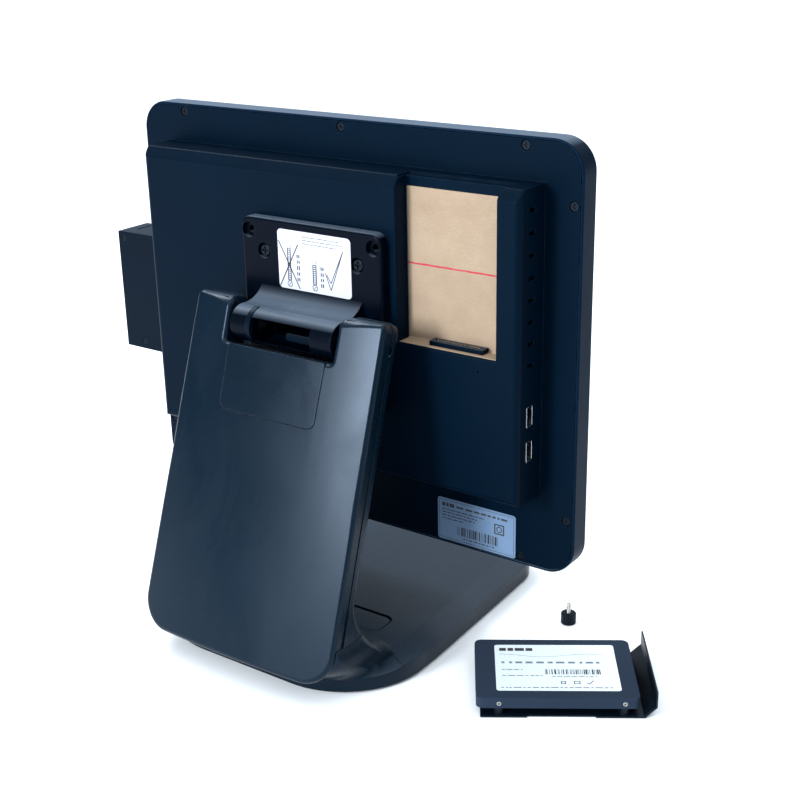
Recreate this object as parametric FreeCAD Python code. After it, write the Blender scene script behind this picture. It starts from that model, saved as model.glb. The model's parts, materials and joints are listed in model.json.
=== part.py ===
import FreeCAD, Part
import math
import os

os.makedirs("parts", exist_ok=True)

# Point-of-sale touchscreen terminal on a slanted leg, with its drive tray taken out.
# Millimetres. +Z is up, the screen looks along -Y, and the origin lies on the counter
# under the middle of the base.

V = FreeCAD.Vector
ORIGIN = V(0, 0, 0)
X_AXIS = V(1, 0, 0)
Y_AXIS = V(0, 1, 0)
Z_AXIS = V(0, 0, 1)

# ---- base ----
BASE_FRONT = -114.0          # y of the front edge
BASE_REAR = 113.0            # y of the rear edge on the counter
BASE_HALF_FRONT = 90.5       # half width at the front edge
BASE_HALF = 98.0             # half width at its widest
BASE_WIDE_Y = 36.0           # y where the sides stop widening
BASE_FRONT_R = 26.0
BASE_SIDE_R = 200.0
BASE_REAR_R = 60.0
RIM_BOTTOM = 1.8             # underside of the rim above the counter
RIM_TOP = 13.0
BASE_TOP = 18.0
BEVEL = 15.0                 # width of the sloping border round the top
BASE_WALL = 2.5
SEAM_Y = 70.0                # where the foot meets the base shell at SEAM_Z
SEAM_Z = 14.0
SEAM_ANGLE = 39.0            # lean of that seam from the horizontal
SEAM_GAP = 0.5
COVER_HALF = 62.0            # cable cover in front of the leg
COVER_FRONT = 34.0
COVER_REAR = 54.0
COVER_THICK = 2.6
COVER_GAP = 0.5
COVER_FINGER_GAP = 2.2       # wider gap along its front edge, to lift it by
FOOT_PAD_R = 8.0
PAD_PLACES = ((-70.0, -92.0), (70.0, -92.0), (-82.0, 0.0), (82.0, 0.0), (-54.0, 98.0), (54.0, 98.0))
BASE_SCREW_PLACES = ((-60.0, -70.0), (60.0, -70.0), (-60.0, 10.0), (60.0, 10.0))
FOOT_SCREW_PLACES = ((-66.0, 84.0), (66.0, 84.0), (-30.0, 100.0), (30.0, 100.0))

# ---- slanted leg; its own frame is x across, n out to the rear, s up the slope ----
LEG_Y = 134.1                # y of the rear face line where it would meet the counter
LEG_LEAN = 19.1              # degrees from vertical
LEG_HALF_BOTTOM = 79.0
LEG_HALF_TOP = 75.5
LEG_BOTTOM = 18.0            # s of the rear cover's lower edge
LEG_TOP = 246.0
LEG_DEPTH = 18.0
LEG_BULGE = 5.4              # how far the middle of the rear face swells
LEG_WALL = 2.5
ROLL_N = 3.7                 # where the roll of the top starts on the rear face
ROLL_R = 10.0
COVER_EDGE = 2.5             # depth of the rear cover at its edge
MID_REAR = 3.1               # middle layer from here ...
MID_FRONT = 9.0              # ... to here, measured forward
FRONT_REAR = 9.5
STRIP_INSET = 0.4            # how far the side strips lie below the shells beside them
CREASE_Z = 39.0              # height where the shells meet the foot
FLARE_TOP_Z = 62.0
NOTCH_HALF = 43.5
NOTCH_BOTTOM = 215.0
DOOR_HALF_TOP = 39.5
DOOR_HALF_BOTTOM = 38.7
DOOR_BOTTOM = 172.5
DOOR_R = 6.0
DOOR_GAP = 0.4
DOOR_THICK = 2.2

# ---- tilt hinge ----
AXIS_Y = 52.0
AXIS_Z = 214.5
BARREL_R = 12.0
BARREL_HALF = 41.0
BARREL_OPEN_HALF = 24.0
PIN_R = 4.0
PIN_FIT = 0.05               # running clearance on the radius
EAR_IN = 46.4
EAR_OUT = 49.4

# ---- display head ----
HEAD_HALF = 174.0
HEAD_BOTTOM = 63.0
HEAD_TOP = 340.0
HEAD_R = 20.0
FRAME_FRONT = -22.0
HEAD_BACK = -6.0             # rear face of the flat back
FRAME_LIP = 1.6
GLASS_THICK = 2.8
BACK_THICK = 2.8
HOUSING_HALF = 149.0
HOUSING_BOTTOM = 115.0
HOUSING_TOP = 313.8
PLATEAU_Y = 23.0
PLATEAU_BOTTOM = 117.0
PLATEAU_TOP = 307.3
CHAMFER_Y = 18.0
HOUSING_WALL = 2.5
VESA_Z = 219.5
VESA_SMALL = 37.5            # half of the 75 mm pattern
VESA_LARGE = 50.0            # half of the 100 mm pattern
ARM_HALF = 56.0
ARM_BOTTOM = 160.5
ARM_TOP = 278.5
ARM_REAR = 30.5
NECK_HALF = 41.0
PORT_Y = 8.0                 # centre line of the sockets in the underside of the housing

# ---- drive bay and the tray that fits it ----
BAY_LEFT = -61.9
BAY_RIGHT = -133.2
BAY_BOTTOM = 209.7
BAY_FLOOR = 10.6
TRAY_X = -177.0
TRAY_Y = 20.7
TRAY_TURN = 213.0            # degrees the tray is turned on the counter
SSD_LONG = 100.0
SSD_WIDE = 69.85
SSD_THICK = 7.0
STANDOFF = 5.0
DRIVE_HOLES = ((-36.0, 30.86), (-36.0, -30.86), (40.6, 30.86), (40.6, -30.86))
TRAY_SHEET = 1.0
TRAY_END = -47.4
TRAY_NEAR = 35.8
RAMP_A = 52.6                # the sheet turns up here, follows the housing's chamfer, then stands up
FLANGE_A = 60.0
FLANGE_HIGH = 18.0
FLANGE_FAR = 38.5
THUMB_X = -146.3
THUMB_Y = -54.4

# ---- card reader on the +X side ----
READER_IN = 174.3
READER_OUT = 212.0
READER_BOTTOM = 152.5
READER_TOP = 241.5
READER_FRONT = -36.0
SLOT_X = 202.0
SLOT_WIDE = 1.8
SLOT_END = -16.0

LEAN = math.radians(LEG_LEAN)


def block(x0, x1, y0, y1, z0, z1):
    return Part.makeBox(x1 - x0, y1 - y0, z1 - z0, V(x0, y0, z0))


def rod(centre, axis, radius, length):
    return Part.makeCylinder(radius, length, centre, axis)


def hex_prism(centre, axis_x, across_flats, length):
    """Hexagonal prism starting at centre and running along +X or -X."""
    corner = across_flats / math.sqrt(3.0)
    points = []
    for step in range(7):
        angle = math.radians(60.0 * step)
        points.append(centre + V(0, corner * math.cos(angle), corner * math.sin(angle)))
    return Part.Face(Part.makePolygon(points)).extrude(V(axis_x * length, 0, 0))


def rounded_wire(points, radii, place):
    """Closed wire through 2-D points with a rounded corner of the given radius at each."""
    count = len(points)
    spans = []
    for i in range(count):
        here = V(points[i][0], points[i][1], 0)
        back = (V(points[i - 1][0], points[i - 1][1], 0) - here).normalize()
        ahead = (V(points[(i + 1) % count][0], points[(i + 1) % count][1], 0) - here).normalize()
        half = math.acos(max(-1.0, min(1.0, back.dot(ahead)))) / 2.0
        reach = radii[i] / math.tan(half)
        middle = (back + ahead).normalize()
        centre = here + middle * (radii[i] / math.sin(half))
        spans.append((here + back * reach, centre - middle * radii[i], here + ahead * reach))
    edges = []
    for i in range(count):
        start, apex, end = spans[i]
        following = spans[(i + 1) % count][0]
        if radii[i] > 0.001:
            edges.append(Part.Arc(place(start), place(apex), place(end)).toShape())
        if (following - end).Length > 0.001:
            edges.append(Part.LineSegment(place(end), place(following)).toShape())
    return Part.Wire(edges)


def at_z(z):
    return lambda p: V(p.x, p.y, z)


def at_y(y):
    return lambda p: V(p.x, y, p.y)


def at_x(x):
    return lambda p: V(x, p.x, p.y)


def slab_z(x0, x1, y0, y1, z0, z1, radius):
    wire = rounded_wire(((x0, y0), (x1, y0), (x1, y1), (x0, y1)), (radius,) * 4, at_z(z0))
    return Part.Face(wire).extrude(V(0, 0, z1 - z0))


def slab_y(x0, x1, z0, z1, y0, y1, radius):
    wire = rounded_wire(((x0, z0), (x1, z0), (x1, z1), (x0, z1)), (radius,) * 4, at_y(y0))
    return Part.Face(wire).extrude(V(0, y1 - y0, 0))


def profile_x(points, radii, x0, x1):
    """Closed (y, z) outline run along X."""
    return Part.Face(rounded_wire(points, radii, at_x(x0))).extrude(V(x1 - x0, 0, 0))


def slab_x(x0, x1, y0, y1, z0, z1, radius):
    points = ((y0, z0), (y1, z0), (y1, z1), (y0, z1))
    return profile_x(points, (radius,) * 4, x0, x1)


def profile_z(points, z0, z1):
    """Closed sharp-cornered (x, y) outline run along Z."""
    corners = [V(x, y, z0) for x, y in points]
    return Part.Face(Part.makePolygon(corners + corners[:1])).extrude(V(0, 0, z1 - z0))


def edges_where(shape, test):
    return [edge for edge in shape.Edges if test(edge)]


def edge_in(edge, axis, value, slack=0.01):
    """True when the whole edge lies on the plane axis = value."""
    box = edge.BoundBox
    low = (box.XMin, box.YMin, box.ZMin)[axis]
    high = (box.XMax, box.YMax, box.ZMax)[axis]
    return abs(low - value) < slack and abs(high - value) < slack


def fuse_all(shapes):
    result = shapes[0]
    for shape in shapes[1:]:
        result = result.fuse(shape)
    return result.removeSplitter()


def cut_all(shape, tools):
    for tool in tools:
        shape = shape.cut(tool)
    return shape


def lean_back(shape):
    """Carry a shape from the leg's own frame (x, n, s) to the standing position."""
    result = shape.copy()
    result.rotate(ORIGIN, X_AXIS, LEG_LEAN)
    result.translate(V(0, LEG_Y, 0))
    return result


def leg_point(x, n, s):
    y = LEG_Y + n * math.cos(LEAN) - s * math.sin(LEAN)
    z = n * math.sin(LEAN) + s * math.cos(LEAN)
    return V(x, y, z)


def save(name, shapes):
    shape = shapes if isinstance(shapes, Part.Shape) else Part.makeCompound(shapes)
    shape.exportStep("parts/" + name + ".step")


# ---------------------------------------------------------------- base

def base_wire(inset, z):
    side = BASE_HALF - inset
    front = BASE_HALF_FRONT - inset
    points = ((-front, BASE_FRONT + inset), (front, BASE_FRONT + inset), (side, BASE_WIDE_Y),
              (side, BASE_REAR - inset), (-side, BASE_REAR - inset), (-side, BASE_WIDE_Y))
    radii = (BASE_FRONT_R - inset, BASE_FRONT_R - inset, BASE_SIDE_R,
             BASE_REAR_R - inset, BASE_REAR_R - inset, BASE_SIDE_R)
    return rounded_wire(points, radii, at_z(z))


def base_slab(inset, z0, z1):
    return Part.Face(base_wire(inset, z0)).extrude(V(0, 0, z1 - z0))


def base_bevel(inset0, z0, inset1, z1):
    return Part.makeLoft([base_wire(inset0, z0), base_wire(inset1, z1)], True, True)


def behind_seam(shift):
    """Everything on the rear side of the slanted seam, moved back by shift."""
    size = 400.0
    tool = block(-size, size, 0, size, -size, size)
    tool.rotate(ORIGIN, X_AXIS, 90.0 - SEAM_ANGLE)
    tool.translate(V(0, SEAM_Y + shift, SEAM_Z))
    return tool


def base_top_shell():
    outer = base_slab(0.0, RIM_BOTTOM, RIM_TOP).fuse(base_bevel(0.0, RIM_TOP, BEVEL, BASE_TOP))
    hollow_top = BASE_TOP - BASE_WALL
    inner = base_slab(BASE_WALL, RIM_BOTTOM - 1.0, RIM_TOP - BASE_WALL)
    inner = inner.fuse(base_bevel(BASE_WALL, RIM_TOP - BASE_WALL, BEVEL + 1.0, hollow_top))
    shell = outer.cut(inner)
    shell = shell.cut(behind_seam(0.0))
    tray_outer = slab_z(-COVER_HALF - 2.5, COVER_HALF + 2.5, COVER_FRONT - COVER_FINGER_GAP - 2.0,
                        COVER_REAR + 2.5, BASE_TOP - COVER_THICK - 2.4, BASE_TOP - 0.5, 8.0)
    recess = slab_z(-COVER_HALF - COVER_GAP, COVER_HALF + COVER_GAP, COVER_FRONT - COVER_FINGER_GAP,
                    COVER_REAR + COVER_GAP, BASE_TOP - COVER_THICK, BASE_TOP + 5.0, 7.0)
    shell = shell.fuse(tray_outer).cut(recess)
    cable_hole = slab_z(-30, 30, 38, 48, RIM_BOTTOM, BASE_TOP, 4.0)
    shell = shell.cut(cable_hole)
    for x, y in BASE_SCREW_PLACES:
        post = rod(V(x, y, 9.4), Z_AXIS, 4.0, BASE_TOP - BASE_WALL - 9.3)
        shell = shell.fuse(post).cut(rod(V(x, y, 9.0), Z_AXIS, 1.7, 5.5))
    return shell.removeSplitter()


def base_bottom_plate():
    plate = base_slab(BASE_WALL + 0.6, RIM_BOTTOM, RIM_BOTTOM + 2.0)
    for x, y in BASE_SCREW_PLACES + FOOT_SCREW_PLACES:
        plate = plate.cut(rod(V(x, y, 0), Z_AXIS, 2.3, 10))
    return plate


def base_ballast():
    plate = slab_z(-80, 80, -96, 28, RIM_BOTTOM + 2.1, RIM_BOTTOM + 7.1, 8.0)
    for x, y in BASE_SCREW_PLACES:
        plate = plate.cut(rod(V(x, y, 0), Z_AXIS, 5.0, 20))
    return plate


def base_screws():
    screws = []
    for x, y in BASE_SCREW_PLACES + FOOT_SCREW_PLACES:
        head = rod(V(x, y, RIM_BOTTOM - 1.3), Z_AXIS, 3.5, 1.3)
        drive = block(x - 2.2, x + 2.2, y - 0.4, y + 0.4, RIM_BOTTOM - 1.4, RIM_BOTTOM - 0.6)
        cross = block(x - 0.4, x + 0.4, y - 2.2, y + 2.2, RIM_BOTTOM - 1.4, RIM_BOTTOM - 0.6)
        shank = rod(V(x, y, RIM_BOTTOM - 0.05), Z_AXIS, 1.55, 11.0)
        screws.append(head.fuse(shank).cut(drive).cut(cross))
    return screws


def base_pads():
    pads = []
    for x, y in PAD_PLACES:
        pad = rod(V(x, y, 0), Z_AXIS, FOOT_PAD_R, RIM_BOTTOM)
        pads.append(pad.makeFillet(0.6, edges_where(pad, lambda e: edge_in(e, 2, 0.0))))
    return pads


def base_cable_cover():
    lid = slab_z(-COVER_HALF, COVER_HALF, COVER_FRONT, COVER_REAR,
                 BASE_TOP - COVER_THICK + 0.1, BASE_TOP, 6.5)
    lid = lid.makeFillet(0.6, edges_where(lid, lambda e: edge_in(e, 2, BASE_TOP)))
    for x in (-24.0, 24.0):
        tab = block(x - 4, x + 4, 39, 41, BASE_TOP - COVER_THICK - 3.5, BASE_TOP - 1.0)
        lid = lid.fuse(tab)
    return lid.removeSplitter()


def foot_section(z, half, front, rear, front_r, rear_r):
    points = ((-half, front), (half, front), (half, rear), (-half, rear))
    return rounded_wire(points, (front_r, front_r, rear_r, rear_r), at_z(z))


def foot_flare():
    """Body of the foot: wide at the base outline, drawn in to the leg at the crease."""
    low = foot_section(RIM_TOP - 0.01, BASE_HALF - 1.0, 48.0, BASE_REAR + 1.0, 14.0, 50.0)
    step = foot_section(17.5, 85.0, 57.0, 122.0, 13.0, 38.0)
    waist = foot_section(27.0, 81.5, 74.0, 122.5, 11.0, 14.0)
    crease = foot_section(CREASE_Z, 79.3, 84.5, 119.0, 9.0, 3.0)
    return Part.makeLoft([low, step, waist, crease], True, False)


def leg_side_box(n0, n1, s0, s1, half):
    return lean_back(block(-half, half, n0, n1, s0, s1))


def stand_foot():
    rim = base_slab(0.0, RIM_BOTTOM, RIM_TOP)
    foot = rim.fuse(foot_flare()).common(behind_seam(SEAM_GAP))
    foot = foot.cut(lean_back(block(-200, 200, -MID_REAR - 0.1, 100, -60, 120)))
    foot = foot.cut(leg_side_box(-9.05, 60, 12, 90, 61.0))
    tongue = lean_back(block(-50, 50, -15.0, -9.05, 30, 62))
    foot = foot.fuse(tongue)
    foot = foot.cut(block(-BASE_HALF + 4, BASE_HALF - 4, 0, 95, RIM_BOTTOM - 1, RIM_BOTTOM + 2.6)
                    .common(base_slab(BASE_WALL + 0.3, -5, 10)))
    foot = foot.cut(base_slab(BASE_WALL + 0.3, RIM_BOTTOM - 1, RIM_BOTTOM + 2.1))
    duct = block(-20, 20, 40, 92, RIM_BOTTOM, 10.0)
    foot = foot.cut(duct).cut(lean_back(block(-20, 20, -16, -8.9, 8, 80)))
    for x, y in FOOT_SCREW_PLACES:
        foot = foot.cut(rod(V(x, y, 0), Z_AXIS, 1.7, 13.5))
    for x in (-40.0, 40.0):
        for s in (38.0, 54.0):
            foot = foot.cut(rod(leg_point(x, -20, s), V(0, math.cos(LEAN), math.sin(LEAN)), 2.15, 15))
    return foot.removeSplitter()


# ---------------------------------------------------------------- leg

def leg_outline(inset):
    """Rear view of the leg with the hinge notch at its top, pulled in by inset."""
    low = LEG_HALF_BOTTOM - inset
    high = LEG_HALF_TOP - inset
    notch = NOTCH_HALF + inset
    points = ((-low, LEG_BOTTOM + inset), (low, LEG_BOTTOM + inset), (high, LEG_TOP - inset),
              (notch, LEG_TOP - inset), (notch, NOTCH_BOTTOM - inset), (-notch, NOTCH_BOTTOM - inset),
              (-notch, LEG_TOP - inset), (-high, LEG_TOP - inset))
    corner = max(22.0 - inset, 1.0)
    top = max(6.0 - inset, 1.0)
    radii = (corner, corner, top, top, 3.0, 3.0, top, top)
    return points, radii


def leg_column(inset, n0, n1):
    """Outline of the leg run through from n0 to n1 in the leg's own frame."""
    points, radii = leg_outline(inset)
    return Part.Face(rounded_wire(points, radii, at_y(n0))).extrude(V(0, n1 - n0, 0))


def swell(depth):
    """Long drum whose skin makes the swollen rear face; depth shrinks it inwards."""
    radius = (77.0 ** 2 + LEG_BULGE ** 2) / (2.0 * LEG_BULGE)
    return rod(V(0, LEG_BULGE - radius, -50), Z_AXIS, radius - depth, 400)


def top_roll(inset):
    """Side view that rolls the rear edge of the leg's two top lobes forward."""
    rear = ROLL_N - inset
    top = LEG_TOP - inset
    points = ((-40, -20), (rear, -20), (rear, top), (-40, top))
    lobes = profile_x(points, (0.0, 0.0, ROLL_R, 0.0), -100, 100)
    between = block(-NOTCH_HALF + 0.01, NOTCH_HALF - 0.01, -40, 20, -20, LEG_TOP)
    return lobes.fuse(between).removeSplitter()


def leg_envelope():
    """Whole outside of the leg in its own frame, before it is parted into shells."""
    body = leg_column(0.0, -LEG_DEPTH, 8.0).common(swell(0.0)).common(top_roll(0.0))
    body = body.makeFillet(3.0, edges_where(body, lambda e: e.BoundBox.YMin > -8.0))
    front = edges_where(body, lambda e: edge_in(e, 1, -LEG_DEPTH) and e.BoundBox.ZLength > 100)
    return body.makeFillet(5.0, front)


def above_crease(z):
    return block(-200, 200, -200, 300, z, 500)


def ring(n0, n1):
    """Hoop of the leg outline between two depths, open in the middle."""
    return leg_column(0.0, n0, n1).cut(leg_column(LEG_WALL, n0 - 1, n1 + 1))


def door_column(gap, n0, n1):
    points = ((-DOOR_HALF_BOTTOM + gap, DOOR_BOTTOM + gap), (DOOR_HALF_BOTTOM - gap, DOOR_BOTTOM + gap),
              (DOOR_HALF_TOP - gap, NOTCH_BOTTOM + 20), (-DOOR_HALF_TOP + gap, NOTCH_BOTTOM + 20))
    radii = (DOOR_R - gap, DOOR_R - gap, 0.5, 0.5)
    return Part.Face(rounded_wire(points, radii, at_y(n0))).extrude(V(0, n1 - n0, 0))


def pin_clearance():
    return rod(V(-200, AXIS_Y, AXIS_Z), X_AXIS, PIN_R + 0.4, 400)


def stand_rear_cover(envelope):
    body = envelope.cut(block(-200, 200, -100, -COVER_EDGE, -100, 400))
    body = body.cut(leg_column(LEG_WALL, -50, 50).common(swell(LEG_WALL)))
    body = body.cut(door_column(0.0, -20, 20))
    return lean_back(body).cut(pin_clearance())


def stand_door(envelope):
    skin = swell(0.0).cut(swell(DOOR_THICK))
    panel = door_column(DOOR_GAP, -20, 20).common(skin)
    panel = panel.cut(block(-100, 100, -30, 30, NOTCH_BOTTOM - 0.3, 400))
    for x in (-25.0, 25.0):
        hook = block(x - 5, x + 5, -1.5, LEG_BULGE - 2.0, DOOR_BOTTOM + 3, DOOR_BOTTOM + 5)
        panel = panel.fuse(hook)
    return lean_back(panel.removeSplitter())


def side_strips():
    """Middle layer of the leg: one strip down each side, round the corner of its lobe."""
    hoop = leg_column(STRIP_INSET, -MID_FRONT, -MID_REAR).cut(leg_column(LEG_WALL, -MID_FRONT - 1, 0))
    hoop = hoop.common(top_roll(2.0 * STRIP_INSET))
    hoop = hoop.cut(block(-NOTCH_HALF - LEG_WALL - 0.4, NOTCH_HALF + LEG_WALL + 0.4, -40, 20, 0, 400))
    return lean_back(hoop).common(above_crease(CREASE_Z + 0.4))


def notch_liner(envelope):
    """Walls of the hinge notch, from the front shell back to the rear cover."""
    hoop = ring(-FRONT_REAR - 0.1, -MID_REAR).common(envelope)
    return hoop.common(block(-NOTCH_HALF - LEG_WALL, NOTCH_HALF + LEG_WALL, -40, 20,
                             NOTCH_BOTTOM - LEG_WALL, 400))


def stand_front_shell(envelope):
    body = envelope.cut(block(-200, 200, -FRONT_REAR, 100, -100, 400))
    hollow = leg_column(LEG_WALL, -LEG_DEPTH + LEG_WALL, 50)
    body = lean_back(body)
    flare = Part.makeLoft([foot_section(CREASE_Z + 0.4, 79.2, 85.0, 117.0, 9.0, 3.0),
                           foot_section(50.0, 78.9, 91.3, 112.0, 6.5, 3.0),
                           foot_section(FLARE_TOP_Z, 78.6, 95.0, 108.0, 4.0, 3.0)], True, False)
    flare = flare.cut(lean_back(block(-200, 200, -FRONT_REAR, 100, -100, 400)))
    body = body.fuse(flare).common(above_crease(CREASE_Z + 0.4))
    body = body.cut(lean_back(hollow)).fuse(lean_back(notch_liner(envelope)))
    return body.cut(pin_clearance()).removeSplitter()


def stand_spine():
    plate = block(-58, 58, -9.0, -6.0, 26, 204)
    for side in (-1, 1):
        x0, x1 = sorted((side * EAR_IN, side * 60.0))
        plate = plate.fuse(block(x0, x1, -9.0, -6.0, 190, 219))
        e0, e1 = sorted((side * EAR_IN, side * EAR_OUT))
        plate = plate.fuse(slab_x(e0, e1, -14.5, -1.0, 196, 240, 5.0))
    plate = plate.cut(slab_y(-18, 18, 70, 180, -20, 0, 8.0))
    plate = lean_back(plate)
    plate = plate.cut(rod(V(-200, AXIS_Y, AXIS_Z), X_AXIS, PIN_R + 0.03, 400))
    for x in (-40.0, 40.0):
        for s in (38.0, 54.0):
            plate = plate.cut(rod(leg_point(x, -20, s), V(0, math.cos(LEAN), math.sin(LEAN)), 2.6, 30))
    return plate.removeSplitter()


def stand_screws():
    screws = []
    normal = V(0, math.cos(LEAN), math.sin(LEAN))
    for x in (-40.0, 40.0):
        for s in (38.0, 54.0):
            head = rod(leg_point(x, -6.0, s), normal, 4.2, 2.6)
            socket = rod(leg_point(x, -4.6, s), normal, 2.0, 2.0)
            shank = rod(leg_point(x, -14.5, s), normal, 2.0, 8.6)
            screws.append(head.fuse(shank).cut(socket))
    return screws


# ---------------------------------------------------------------- hinge

def hinge_pins():
    pins = []
    for side in (-1, 1):
        start = V(side * 26.0, AXIS_Y, AXIS_Z)
        pin = rod(start, V(side, 0, 0), PIN_R, 35.5)
        end = side * 61.5
        pins.append(pin.makeChamfer(0.5, edges_where(pin, lambda e: edge_in(e, 0, end))))
    return pins


def hinge_washers():
    washers = []
    for side in (-1, 1):
        for k in range(4):
            start = V(side * (EAR_OUT + 0.1 + k * 1.0), AXIS_Y, AXIS_Z)
            disc = rod(start, V(side, 0, 0), 7.5, 0.9)
            washers.append(disc.cut(rod(start - V(side, 0, 0), V(side, 0, 0), PIN_R + 0.05, 3)))
    return washers


def hinge_nuts():
    nuts = []
    for side in (-1, 1):
        start = V(side * (EAR_OUT + 4.2), AXIS_Y, AXIS_Z)
        nut = hex_prism(start, side, 13.0, 6.5)
        nuts.append(nut.cut(rod(start - V(side, 0, 0), V(side, 0, 0), PIN_R + 0.04, 9)))
    return nuts


def arm_bracket():
    """Screen plate, curved neck and hinge barrel in one casting."""
    plate = slab_y(-ARM_HALF, ARM_HALF, ARM_BOTTOM, ARM_TOP, PLATEAU_Y, ARM_REAR, 7.0)
    plate = plate.makeFillet(1.6, edges_where(plate, lambda e: edge_in(e, 1, ARM_REAR)))
    neck_top = AXIS_Z + BARREL_R
    curve_start = V(0, ARM_REAR - 0.6, 235.0)
    curve_mid = V(0, 37.0, 228.6)
    curve_end = V(0, AXIS_Y - 2.0, neck_top - 0.2)
    low_end = V(0, AXIS_Y - 2.0, AXIS_Z - BARREL_R + 0.2)
    low_mid = V(0, 37.0, 200.0)
    low_start = V(0, ARM_REAR - 0.6, 192.0)
    side = Part.Wire([Part.Arc(curve_start, curve_mid, curve_end).toShape(),
                      Part.LineSegment(curve_end, low_end).toShape(),
                      Part.Arc(low_end, low_mid, low_start).toShape(),
                      Part.LineSegment(low_start, curve_start).toShape()])
    neck = Part.Face(side).extrude(V(2 * NECK_HALF, 0, 0))
    neck.translate(V(-NECK_HALF, 0, 0))
    barrel = rod(V(-BARREL_HALF, AXIS_Y, AXIS_Z), X_AXIS, BARREL_R, 2 * BARREL_HALF)
    barrel = barrel.makeFillet(0.8, edges_where(barrel, lambda e: edge_in(e, 0, BARREL_HALF)
                                                or edge_in(e, 0, -BARREL_HALF)))
    arm = fuse_all([plate, neck, barrel])
    arm = arm.cut(rod(V(-BARREL_OPEN_HALF, AXIS_Y, AXIS_Z), X_AXIS, 9.5, 2 * BARREL_OPEN_HALF))
    arm = arm.cut(block(-BARREL_OPEN_HALF, BARREL_OPEN_HALF, AXIS_Y, AXIS_Y + 20,
                        AXIS_Z - 8.5, AXIS_Z + 7.5))
    arm = arm.cut(slab_y(-20, 20, AXIS_Z - 7, AXIS_Z + 6, PLATEAU_Y - 5, AXIS_Y, 3.0))
    arm = arm.cut(rod(V(-200, AXIS_Y, AXIS_Z), X_AXIS, PIN_R + PIN_FIT, 400))
    groove = rod(V(24.0, AXIS_Y, AXIS_Z), X_AXIS, 20, 4.0)
    groove = groove.cut(rod(V(24.0, AXIS_Y, AXIS_Z), X_AXIS, 10.4, 4.0))
    groove = groove.common(block(0, 50, AXIS_Y + 0.5, AXIS_Y + 30, AXIS_Z - 30, AXIS_Z + 30))
    arm = arm.cut(groove)
    for half in (VESA_SMALL, VESA_LARGE):
        for sx in (-1, 1):
            for sz in (-1, 1):
                spot = V(sx * half, PLATEAU_Y - 5, VESA_Z + sz * half)
                arm = arm.cut(rod(spot, Y_AXIS, 2.3, 40))
                arm = arm.cut(rod(V(spot.x, ARM_REAR - 3.4, spot.z), Y_AXIS, 5.2, 12))
    return arm.removeSplitter()


def barrel_ring():
    ring_body = rod(V(24.2, AXIS_Y, AXIS_Z), X_AXIS, BARREL_R + 0.5, 3.6)
    ring_body = ring_body.cut(rod(V(24.0, AXIS_Y, AXIS_Z), X_AXIS, 10.6, 4.2))
    return ring_body.common(block(0, 50, AXIS_Y + 0.8, AXIS_Y + 30, AXIS_Z - 30, AXIS_Z + 30))


def cable_clip():
    return slab_y(-23.9, 1.0, AXIS_Z - 5.5, AXIS_Z - 1.0, AXIS_Y + 2.0, AXIS_Y + 4.0, 0.8)


def vesa_screws():
    screws = []
    for sx in (-1, 1):
        for sz in (-1, 1):
            x = sx * VESA_SMALL
            z = VESA_Z + sz * VESA_SMALL
            head = rod(V(x, ARM_REAR - 3.4, z), Y_AXIS, 4.0, 2.5)
            head = head.makeFillet(0.9, edges_where(head, lambda e: edge_in(e, 1, ARM_REAR - 0.9)))
            slot = block(x - 2.6, x + 2.6, ARM_REAR - 2.2, ARM_REAR, z - 0.5, z + 0.5)
            cross = block(x - 0.5, x + 0.5, ARM_REAR - 2.2, ARM_REAR, z - 2.6, z + 2.6)
            shank = rod(V(x, PLATEAU_Y - 7.5, z), Y_AXIS, 1.95, ARM_REAR - 3.3 - PLATEAU_Y + 7.5)
            screws.append(head.fuse(shank).cut(slot).cut(cross))
    return screws


# ---------------------------------------------------------------- display head

def cover_screw_places():
    places = [(x, 334.3) for x in (-135.4, 0.0, 135.4)]
    places += [(x, 68.6) for x in (-135.4, 0.0, 135.4)]
    places += [(x, z) for x in (-168.0, 168.0) for z in (301.6, 101.6)]
    return places


def bezel_frame():
    frame = slab_y(-HEAD_HALF, HEAD_HALF, HEAD_BOTTOM, HEAD_TOP, FRAME_FRONT, HEAD_BACK, HEAD_R)
    frame = frame.makeFillet(1.0, edges_where(frame, lambda e: edge_in(e, 1, HEAD_BACK)))
    frame = frame.makeFillet(1.2, edges_where(frame, lambda e: edge_in(e, 1, FRAME_FRONT)))
    lip = HEAD_HALF - FRAME_LIP
    low = HEAD_BOTTOM + FRAME_LIP
    high = HEAD_TOP - FRAME_LIP
    frame = frame.cut(slab_y(-lip, lip, low, high, HEAD_BACK - BACK_THICK - 0.2, 0, HEAD_R - FRAME_LIP))
    frame = frame.cut(slab_y(-lip, lip, low, high, FRAME_FRONT - 1, FRAME_FRONT + GLASS_THICK + 0.2,
                             HEAD_R - FRAME_LIP))
    frame = frame.cut(slab_y(-163.5, 163.5, 73.5, 329.5, -40, 10, 2.0))
    for x, z in cover_screw_places():
        frame = frame.cut(rod(V(x, -14.5, z), Y_AXIS, 1.5, 10))
    frame = frame.cut(block(139.6, 150.4, -18.2, -11.8, HEAD_BOTTOM - 1, 70.0))
    return frame.cut(block(140.7, 149.3, -17.5, -12.5, 68, 75))


def touch_glass():
    edge = FRAME_LIP + 0.3
    glass = slab_y(-HEAD_HALF + edge, HEAD_HALF - edge, HEAD_BOTTOM + edge, HEAD_TOP - edge,
                   FRAME_FRONT, FRAME_FRONT + GLASS_THICK, HEAD_R - edge)
    return glass.makeChamfer(0.5, edges_where(glass, lambda e: edge_in(e, 1, FRAME_FRONT)))


def lcd_panel():
    panel = block(-162, 162, -18.8, -11.2, 75, 328)
    window = block(-152.5, 152.5, -19.5, -18.3, 87.3, 315.7)
    return panel.cut(window)


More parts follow.
